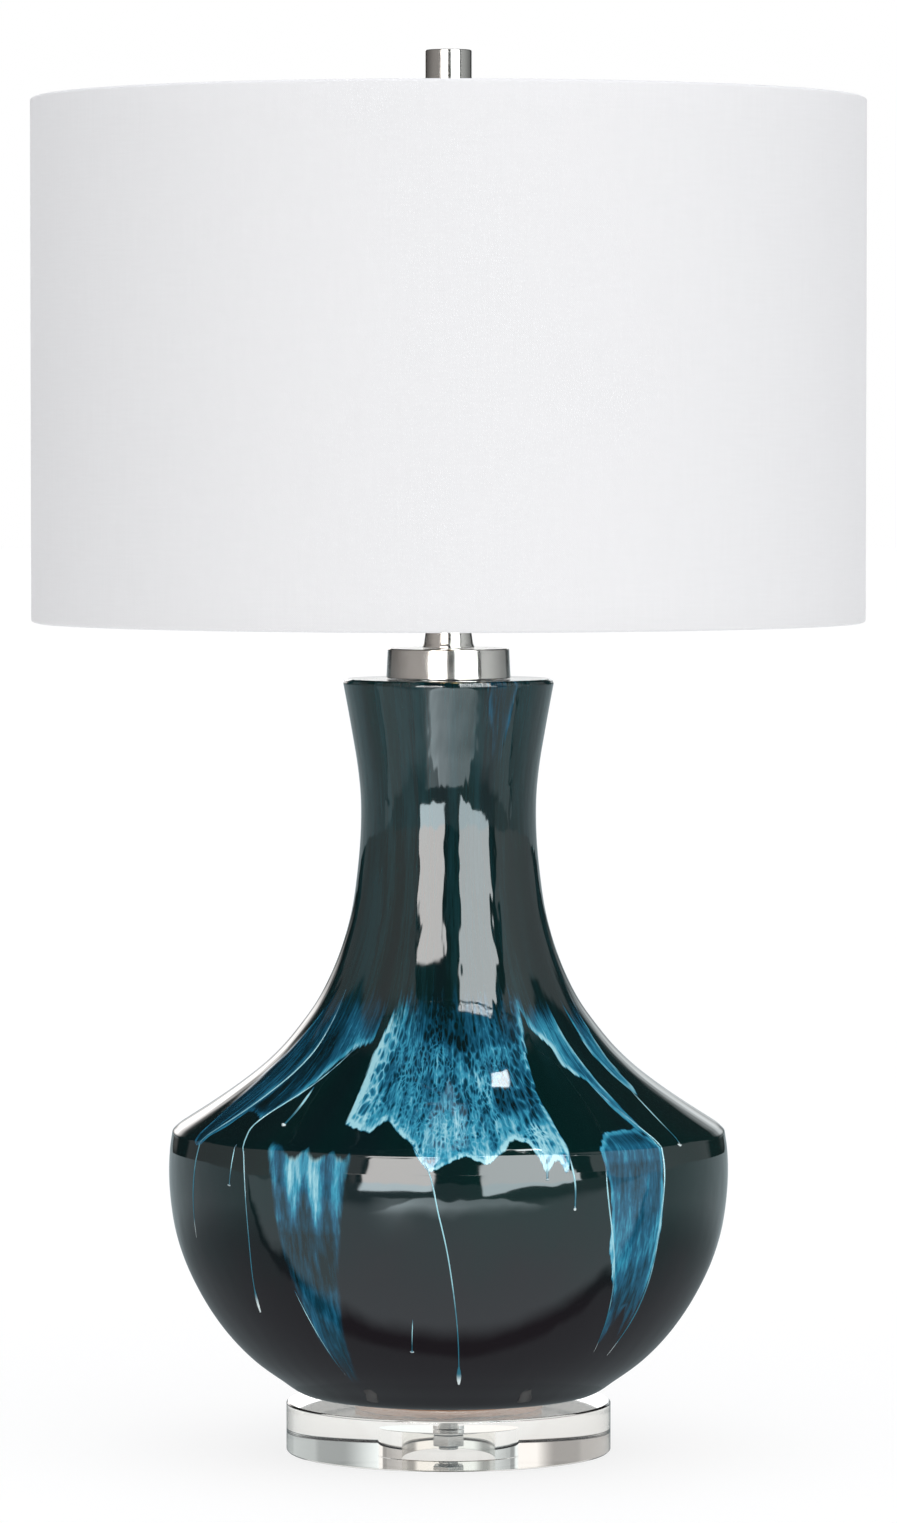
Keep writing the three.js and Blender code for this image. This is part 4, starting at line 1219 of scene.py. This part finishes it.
def build_world(stage):
    """Soft light from above and the front for the lamp's mat surfaces. Its polished ones mirror a dim
    room with two tall softboxes, dark flags at the sides and a white wall behind."""
    world = bpy.data.worlds.new("Studio")
    bpy.context.scene.world = world
    world.use_nodes = True
    graph = Graph(world.node_tree)
    background = world.node_tree.nodes["Background"]
    way = graph.add("ShaderNodeTexCoord").outputs["Generated"]
    parts = graph.add("ShaderNodeSeparateXYZ", {"Vector": way})
    right, back, up = (parts.outputs[axis] for axis in "XYZ")
    front = graph.times(back, -1.0)
    azimuth = graph.times(graph.math("ARCTAN2", right, front), 180 / math.pi)
    elevation = graph.times(graph.math("ARCSINE", up), 180 / math.pi)
    aside = graph.math("ABSOLUTE", azimuth)

    room = graph.times(graph.ramp(aside, 60.0, 140.0, 1.0, 0.34), graph.ramp(right, -0.5, 0.5, 0.54, 0.90))
    dark = graph.window(azimuth, *DARK_FRONT, 1.0)
    room = graph.times(room, graph.ramp(dark, 0.0, 1.0, 1.0, 0.05))
    room = graph.times(room, graph.ramp(elevation, 40.0, 62.0, 1.0, 0.06))
    flags = graph.window(aside, *SIDE_FLAGS, 3.0)
    high_flag = graph.times(graph.ramp(aside, 92.0, 104.0), graph.ramp(elevation, 24.0, 30.0))
    flags = graph.math("MAXIMUM", flags, high_flag)
    room = graph.times(room, graph.ramp(flags, 0.0, 1.0, 1.0, 0.08))
    glow = graph.times(graph.ramp(aside, 150.0, 168.0), graph.window(elevation, 4.0, 13.0, 5.0))
    glow = graph.times(glow, graph.ramp(right, -0.2, 0.2, 3.4, 1.5))
    wall = graph.math("MAXIMUM", graph.ramp(aside, 171.0, 174.0, 0.0, 0.92), glow)
    room = graph.math("MAXIMUM", room, wall)
    left_height = graph.ramp(elevation, 35.2, 36.8, 1.15, 0.0)
    right_height = graph.ramp(elevation, 57.2, 58.8, 0.95, 0.0)
    left_box = graph.times(graph.window(azimuth, *LEFT_BOX, 0.5), left_height)
    right_box = graph.times(graph.window(azimuth, *RIGHT_BOX, 0.5), right_height)
    boxes = graph.plus(left_box, right_box)
    skylight = graph.times(graph.window(azimuth, *SKYLIGHT, 1.0), graph.window(elevation, 70.5, 75.5, 0.4))
    boxes = graph.plus(boxes, graph.times(skylight, 1.6))
    shine = graph.plus(room, graph.times(boxes, stage.softbox))

    soft = graph.plus(graph.times(front, 1.16), graph.times(right, 0.24))
    soft = graph.math("MAXIMUM", soft, 0.0)
    soft = graph.plus(soft, graph.ramp(up, 0.55, 0.85, 0.0, 1.5))

    path = graph.add("ShaderNodeLightPath")
    through = graph.plus(graph.times(graph.math("MINIMUM", shine, 1.2), 0.62), 0.36)
    strength = graph.chosen(path.outputs["Is Glossy Ray"], soft, shine)
    strength = graph.chosen(path.outputs["Is Transmission Ray"], strength, through)
    strength = graph.chosen(path.outputs["Is Camera Ray"], strength, 1.0)
    tint = graph.mix(graph.ramp(front, -0.2, 0.9), (0.94, 0.95, 1.0), (1.0, 1.0, 1.0))
    glossy_tint = graph.mix(graph.ramp(right, -0.3, 0.3), (1.0, 0.965, 0.945), (0.93, 0.985, 1.0))
    warm = graph.mix(path.outputs["Is Glossy Ray"], tint, glossy_tint)
    clear = graph.mix(path.outputs["Is Camera Ray"], warm, (1.0, 1.0, 1.0))
    graph.tree.links.new(clear, background.inputs["Color"])
    graph.tree.links.new(graph.times(strength, stage.light), background.inputs["Strength"])


def build_camera():
    """A long lens, level with the top of the vase and tipped down a little."""
    distance = 3.56
    height = 0.4959
    tip = math.radians(2.522)
    camera = bpy.data.cameras.new("Camera")
    camera.sensor_width = 36.0
    camera.lens = 172.55
    camera.clip_end = 100.0
    obj = bpy.data.objects.new("Camera", camera)
    stand = Matrix.Translation((0, -distance, height))
    obj.matrix_world = stand @ Matrix.Rotation(math.pi / 2 - tip, 4, "X")
    bpy.context.scene.collection.objects.link(obj)
    bpy.context.scene.camera = obj
    bpy.context.scene.view_settings.view_transform = "Standard"


class LAMP_OT_vase(Operator):
    """Makes the glazed vase, its threads of pale glaze and the grommet in its back"""

    bl_idname = "lamp.vase"
    bl_label = "Vase"

    def execute(self, context):
        glaze = context.scene.lamp_glaze
        skin = outer_skin(cad_outline("vase"), 6 * MM)
        outline = smooth_outline(skin, steps=6, bevel=0.8 * MM)
        outline = even_rings(outline, 2.6 * MM)
        vase = new_object("vase_body", *turned_grid(outline, 300))
        wall = [p for p in outline if p[1] > GLAZE_FOOT * 0.8 * MM and p[0] > 0.04]
        glaze_vase(vase, wall, glaze)
        place(vase, "lamp_base", "glazed_stoneware", glaze_material(glaze), "vase")
        threads = swept_piece("glaze_threads", thread_paths(wall), 1.0, thread_material(glaze), sides=10)
        place(threads, "lamp_base", "glazed_stoneware", None)
        rubber = grained("Black Rubber", (0.02, 0.02, 0.02), 0.6)
        softened("inlet_grommet", "cord_grommet", 0.3 * MM, "lamp_base", "black_rubber", rubber)
        return {"FINISHED"}


def even_rings(points, step):
    """An outline with no stretch longer than a step."""
    result = []
    for here, after in zip(points, points[1:] + points[:1]):
        result.append(here)
        if here is points[-1]:
            break
        gap = math.dist(here, after)
        for k in range(1, math.ceil(gap / step)):
            t = k / math.ceil(gap / step)
            result.append((here[0] + (after[0] - here[0]) * t, here[1] + (after[1] - here[1]) * t))
    return result


class LAMP_OT_base(Operator):
    """Makes the clear disc, its bumper feet, the rod and the fasteners under it"""

    bl_idname = "lamp.base"
    bl_label = "Base"

    def execute(self, context):
        metal = context.scene.lamp_metal
        zinc = turned_metal("Zinc Plate", metal.zinc, 0.22)
        refined("clear_disc", "acrylic_base", 256, 0.3 * MM, "lamp_base", "acrylic", acrylic_material())
        pale = (0.80, 0.83, 0.82)
        soft = grained("Clear Rubber", pale, 0.35, 0.0008, 0.00001, 0.03, Transmission_Weight=0.6)
        for i in range(1, 5):
            build_bumper(f"bumper_foot_{i}", soft)
        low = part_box("threaded_rod")[0]
        thread = (low.z + 0.4 * MM, low.z + 40 * MM, metal.thread_pitch, 0.5 * MM)
        refined("lamp_rod", "threaded_rod", 48, 0.25 * MM, "lamp_base", "zinc_steel", zinc, thread=thread)
        refined("flat_washer", "base_washer", 96, 0.2 * MM, "lamp_base", "zinc_steel", zinc)
        softened("hex_nut", "base_nut", 0.4 * MM, "lamp_base", "zinc_steel", zinc)
        softened("lock_washer", "base_lock_washer", 0.15 * MM, "lamp_base", "zinc_steel", zinc)
        return {"FINISHED"}


def build_bumper(node, material):
    """A domed clear bumper foot."""
    low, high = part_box(node)
    centre = (low + high) / 2
    radius = (high.x - low.x) / 2
    outline = [
        (0, low.z), (radius * 0.62, low.z), (radius * 0.86, low.z + 0.25 * MM),
        (radius, low.z + 0.8 * MM), (radius, high.z), (0, high.z),
    ]
    foot = turned_piece(f"clear_{node}", outline, 48, 0.15 * MM)
    foot.data.transform(Matrix.Translation((centre.x, centre.y, 0)))
    place(foot, "lamp_base", "clear_rubber", material, node)


class LAMP_OT_fittings(Operator):
    """Makes the nickel cap and neck between the vase and the socket"""

    bl_idname = "lamp.fittings"
    bl_label = "Nickel Fittings"

    def execute(self, context):
        nickel = turned_metal("Nickel", context.scene.lamp_metal.nickel, 0.13)
        refined("nickel_cap", "vase_cap", 160, 0.35 * MM, "lamp_base", "nickel", nickel)
        refined("nickel_neck", "neck", 96, 0.25 * MM, "lamp_base", "nickel", nickel)
        softened("saddle", "harp_saddle", 0.25 * MM, "lamp_base", "nickel", nickel)
        return {"FINISHED"}


class LAMP_OT_socket(Operator):
    """Makes the socket with its live parts, and the switch's knob and shaft"""

    bl_idname = "lamp.socket"
    bl_label = "Socket and Switch"

    def execute(self, context):
        metal = context.scene.lamp_metal
        brass = turned_metal("Brass", metal.brass, 0.2)
        zinc = bpy.data.materials["Zinc Plate"]
        black = grained("Black Plastic", (0.022, 0.021, 0.02), 0.35)
        fibre = grained("Fibre", (0.45, 0.31, 0.16), 0.8, 0.0006, 0.00005, 0.2)
        refined("brass_cap", "socket_cap", 96, 0.2 * MM, "lamp_base", "brass", brass, front=1)
        refined("brass_shell", "socket_shell", 96, 0.15 * MM, "lamp_base", "brass", brass, front=1)
        low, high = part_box("screw_shell")
        thread = (low.z + 2 * MM, high.z - 1 * MM, metal.bulb_pitch, 0.45 * MM)
        refined("bulb_screw_shell", "screw_shell", 72, 0.1 * MM, "lamp_base", "brass", brass, thread=thread)
        refined("fibre_sleeve", "socket_liner", 72, 0.1 * MM, "lamp_base", "fibre", fibre, front=1)
        for name, node, bevel, body, slot, material in (
            ("socket_block", "socket_interior", 0.4, "lamp_base", "black_plastic", black),
            ("contact_tongue", "center_contact", 0.1, "lamp_base", "brass", brass),
            ("hot_screw", "terminal_screw_hot", 0.3, "lamp_base", "brass", brass),
            ("neutral_screw", "terminal_screw_neutral", 0.3, "lamp_base", "zinc_steel", zinc),
            ("set_screw", "socket_set_screw", 0.2, "lamp_base", "zinc_steel", zinc),
            ("knob_shaft", "switch_shaft", 0.2, "switch", "black_plastic", black),
        ):
            softened(name, node, bevel * MM, body, slot, material)
        build_knob(black)
        return {"FINISHED"}


def build_knob(material):
    """The ribbed knob, drawn round its own axis and laid along Y."""
    low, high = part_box("switch_knob")
    radius = (high.x - low.x) / 2
    depth = high.y - low.y
    ribs = 24
    segments = ribs * 6
    profile = [
        (0, 0), (radius * 0.80, 0), (radius * 0.94, 0.5 * MM), (radius, 1.4 * MM),
        (radius, depth - 2.2 * MM), (radius * 0.9, depth - 0.7 * MM), (radius * 0.72, depth - 0.1 * MM),
        (radius * 0.3, depth), (0, depth),
    ]
    outline = smooth_outline(profile, 4, 0.2 * MM, corner=50)
    knob = new_object("ribbed_knob", *turned_grid(outline, segments))
    for vertex in knob.data.vertices:
        around = math.atan2(vertex.co.y, vertex.co.x)
        reach = math.hypot(vertex.co.x, vertex.co.y)
        edge = max(0.0, (reach / radius - 0.85) / 0.15)
        groove = max(0.0, math.cos(around * ribs)) ** 2 * 0.35 * MM * edge
        vertex.co.x *= 1 - groove / max(reach, 1e-6)
        vertex.co.y *= 1 - groove / max(reach, 1e-6)
    height = (low.z + high.z) / 2
    knob.data.transform(Matrix.Translation((0, high.y, height)) @ Matrix.Rotation(math.pi / 2, 4, "X"))
    place(knob, "switch", "black_plastic", material, "switch_knob")


class LAMP_OT_bulb(Operator):
    """Makes the bulb"""

    bl_idname = "lamp.bulb"
    bl_label = "Bulb"

    def execute(self, context):
        metal = context.scene.lamp_metal
        brass = bpy.data.materials["Brass"]
        refined("bulb_contact_button", "bulb_contact", 48, 0.2 * MM, "bulb_contact", "brass", brass)
        low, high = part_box("bulb_base")
        thread = (low.z + 4.5 * MM, high.z - 3 * MM, metal.bulb_pitch, 0.5 * MM)
        silver = turned_metal("Aluminium", metal.aluminium, 0.3)
        refined("bulb_screw_base", "bulb_base", 72, 0.15 * MM, "bulb", "aluminium", silver, thread=thread)
        frosted = grained("Frosted Glass", (0.88, 0.88, 0.86), 0.3, 0.0006, 0.00001, 0.02, Coat_Weight=0.3)
        refined("bulb_glass", "bulb_envelope", 96, 0.1 * MM, "bulb", "frosted_glass", frosted, steps=5)
        return {"FINISHED"}


# The right half of the harp's wire, as (X, height above the saddle) in mm.
HARP_HALF = [
    (31, 13.8), (31, 24), (31, 34), (36.5, 46), (47, 70), (56, 100), (57, 130), (52, 168), (38, 200),
    (23, 217), (10, 226), (0, 226),
]
HARP_WIRE = 1.6


class LAMP_OT_harp(Operator):
    """Makes the harp, its swivel stud and its two sleeves"""

    bl_idname = "lamp.harp"
    bl_label = "Harp"

    def execute(self, context):
        nickel = bpy.data.materials["Nickel"]
        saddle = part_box("harp_saddle")[0].z
        route = [Vector((x * MM, 0, saddle + z * MM)) for x, z in HARP_HALF]
        other = [Vector((-p.x, 0, p.z)) for p in reversed(route[:-1])]
        path = [(point, 1.0) for point in smooth_path(route + other, 10)]
        wire = swept_piece("harp_loop", [path], HARP_WIRE * MM, nickel, sides=20)
        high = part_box("harp_stud")[1]
        eye_height = saddle + HARP_HALF[-1][1] * MM
        under, over = eye_height - 1.7 * MM, eye_height + 1.7 * MM
        hole, rim = 2.25 * MM, 6 * MM
        flat_ring = [(hole, under), (rim, under), (rim, over), (hole, over)]
        wire = merged(wire, turned_piece("harp_eye", flat_ring, 64, 0.4 * MM))
        place(wire, "harp", "nickel", nickel, "harp_wire")
        thread = (high.z - 14 * MM, high.z - 0.6 * MM, context.scene.lamp_metal.thread_pitch, 0.35 * MM)
        brass = bpy.data.materials["Brass"]
        refined("swivel_stud", "harp_stud", 48, 0.2 * MM, "harp", "brass", brass, thread=thread)
        for side in ("left", "right"):
            build_sleeve(side, nickel)
        return {"FINISHED"}


def merged(first, second):
    """Two objects as one mesh."""
    shape = bmesh.new()
    shape.from_mesh(first.data)
    shape.from_mesh(second.data)
    shape.to_mesh(first.data)
    shape.free()
    first.data.polygons.foreach_set("use_smooth", [True] * len(first.data.polygons))
    bpy.data.objects.remove(second)
    return first


def build_sleeve(side, material):
    """A sleeve with a rolled bead at each end."""
    node = f"harp_sleeve_{side}"
    low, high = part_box(node)
    outer = (high.x - low.x) / 2
    inner = outer - 1.6 * MM
    bead = 1.2 * MM
    waist = outer - 0.45 * MM
    outline = [
        (inner, low.z), (outer - 0.3 * MM, low.z), (outer, low.z + bead / 2),
        (outer - 0.2 * MM, low.z + bead), (waist, low.z + bead * 1.3),
        (waist, high.z - bead * 1.3), (outer - 0.2 * MM, high.z - bead),
        (outer, high.z - bead / 2), (outer - 0.3 * MM, high.z), (inner, high.z),
    ]
    sleeve = turned_piece(f"locking_sleeve_{side}", outline, 48, 0.2 * MM)
    sleeve.data.transform(Matrix.Translation(((low.x + high.x) / 2, 0, 0)))
    place(sleeve, f"sleeve_{side}", "nickel", material, node)


class LAMP_OT_shade(Operator):
    """Makes the drum shade: cloth, liner, wire rings, spider arms and washer"""

    bl_idname = "lamp.shade"
    bl_label = "Drum Shade"

    def execute(self, context):
        shade = context.scene.lamp_shade
        enamel = grained("White Enamel", context.scene.lamp_metal.enamel, 0.3, 0.0006, 0.00002, 0.03)
        build_cloth(shade)
        refined("styrene_liner", "shade_liner", 288, 0.1 * MM, "shade", "styrene", styrene_material(shade))
        for node in ("top_ring", "bottom_ring"):
            low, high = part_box(node)
            wire = (high.z - low.z) / 2 / math.sin(math.radians(60))
            centre = (high.x - wire, (low.z + high.z) / 2)
            angles = [k * TURN / 12 for k in range(12)]
            section = [(centre[0] + wire * math.cos(a), centre[1] + wire * math.sin(a)) for a in angles]
            ring = new_object(f"{node}_wire", *turned_grid(section, 288))
            place(ring, "shade", "white_wire", enamel, node)
        refined("fitter_washer", "spider_washer", 96, 0.3 * MM, "shade", "white_wire", enamel)
        for i in range(3):
            build_arm(i, enamel)
        return {"FINISHED"}


SPIDER_ARMS = [90, 210, 330]  # degrees from +X


def build_cloth(shade):
    """The cloth, turned in over both rings, with a notch for each arm and an overlap at the back."""
    outline = smooth_outline(cad_outline("shade_fabric"), 3, 0.5 * MM, corner=50)
    outline = even_rings(outline, 14 * MM)
    segments = 720
    cloth = new_object("drum_cloth", *turned_grid(outline, segments))
    low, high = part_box("shade_fabric")
    radius = high.x
    middle = (low.z + high.z) / 2
    arm = 2.6 * MM
    roof = high.z - 0.75 * MM
    inside = radius - 3.0 * MM
    edge = radius - 1.2 * MM
    for vertex in cloth.data.vertices:
        x, y, z = vertex.co
        reach = math.hypot(x, y)
        turn = math.degrees(math.atan2(y, x))
        if reach < inside and z > middle:
            apart = min(abs((turn - a + 180) % 360 - 180) for a in SPIDER_ARMS)
            gap = math.radians(apart) * reach
            if gap < arm and z < roof:
                vertex.co.z = roof - (roof - z) * 0.03
        elif reach > edge:
            past = math.radians((turn - 90 + 180) % 360 - 180) * reach / shade.overlap
            lap = smooth_step((past + 0.5) / 0.03) * smooth_step((1.4 - past) / 0.9)
            stretch = 1 + lap * 0.3 * MM / reach
            vertex.co.x *= stretch
            vertex.co.y *= stretch
    cloth.data.update()
    place(cloth, "shade", "shade_cloth", cloth_material(shade), "shade_fabric")


def smooth_step(value):
    """A value eased from 0 to 1."""
    value = min(1.0, max(0.0, value))
    return value * value * (3 - 2 * value)


def build_arm(i, material):
    """A spider arm from the washer out to the top ring."""
    node = f"spider_arm_{i + 1}"
    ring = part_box("top_ring")
    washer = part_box("spider_washer")
    wire = 1.5 * MM
    low = (washer[0].z + washer[1].z) / 2
    high = (ring[0].z + ring[1].z) / 2
    start = washer[1].x + 0.3 * MM
    reach = ring[1].x - 2 * wire - 0.3 * MM
    points = [
        (start, low), (reach - 60 * MM, low), (reach - 34 * MM, low),
        (reach - 10 * MM, high - 0.6 * MM), (reach, high),
    ]
    turn = math.radians(SPIDER_ARMS[i])
    route = [Vector((r * math.cos(turn), r * math.sin(turn), z)) for r, z in points]
    arm = swept_piece(f"fitter_arm_{i + 1}", [[(p, 1.0) for p in smooth_path(route, 8)]], wire, material, 16)
    place(arm, "shade", "white_wire", None, node)


class LAMP_OT_finial(Operator):
    """Makes the finial and its threaded insert"""

    bl_idname = "lamp.finial"
    bl_label = "Finial"

    def execute(self, context):
        # Painted shade: the finial's nickel is coloured darker than the cap's, standing in for the dark
        # reflections it shows.
        dark = scaled(context.scene.lamp_metal.nickel, 0.72)
        nickel = turned_metal("Nickel With Painted Shade", dark, 0.16, 0.0006, 0.000008)
        refined("drum_finial", "finial", 128, 0.3 * MM, "finial", "nickel", nickel)
        brass = bpy.data.materials["Brass"]
        refined("threaded_insert", "finial_insert", 48, 0.15 * MM, "finial_insert", "brass", brass)
        return {"FINISHED"}


STEPS = (
    LAMP_OT_stage,
    LAMP_OT_base,
    LAMP_OT_vase,
    LAMP_OT_fittings,
    LAMP_OT_socket,
    LAMP_OT_bulb,
    LAMP_OT_harp,
    LAMP_OT_shade,
    LAMP_OT_finial,
)


class LAMP_PT_panel(Panel):
    """Lists the lamp's steps and settings"""

    bl_idname = "LAMP_PT_panel"
    bl_label = "Table Lamp"
    bl_space_type = "VIEW_3D"
    bl_region_type = "UI"
    bl_category = "Lamp"

    def draw(self, context):
        layout = self.layout
        for step in STEPS:
            layout.operator(step.bl_idname)
        for key in SETTINGS:
            settings = getattr(context.scene, key)
            box = layout.box()
            for title in settings.bl_rna.properties.keys():
                if title not in ("rna_type", "name"):
                    box.prop(settings, title)


SETTINGS = {
    "lamp_glaze": LampGlazeSettings,
    "lamp_metal": LampMetalSettings,
    "lamp_shade": LampShadeSettings,
    "lamp_stage": LampStageSettings,
}


def register():
    """Adds the settings, the operators and the panel."""
    for key, settings in SETTINGS.items():
        bpy.utils.register_class(settings)
        setattr(bpy.types.Scene, key, PointerProperty(type=settings))
    for step in STEPS:
        bpy.utils.register_class(step)
    bpy.utils.register_class(LAMP_PT_panel)


def unregister():
    """Takes the panel, the operators and the settings away again."""
    bpy.utils.unregister_class(LAMP_PT_panel)
    for step in reversed(STEPS):
        bpy.utils.unregister_class(step)
    for key, settings in SETTINGS.items():
        delattr(bpy.types.Scene, key)
        bpy.utils.unregister_class(settings)


def main():
    """Builds the lamp."""
    register()
    for step in STEPS:
        group, name = step.bl_idname.split(".")
        getattr(getattr(bpy.ops, group), name)()


if __name__ == "__main__":
    main()
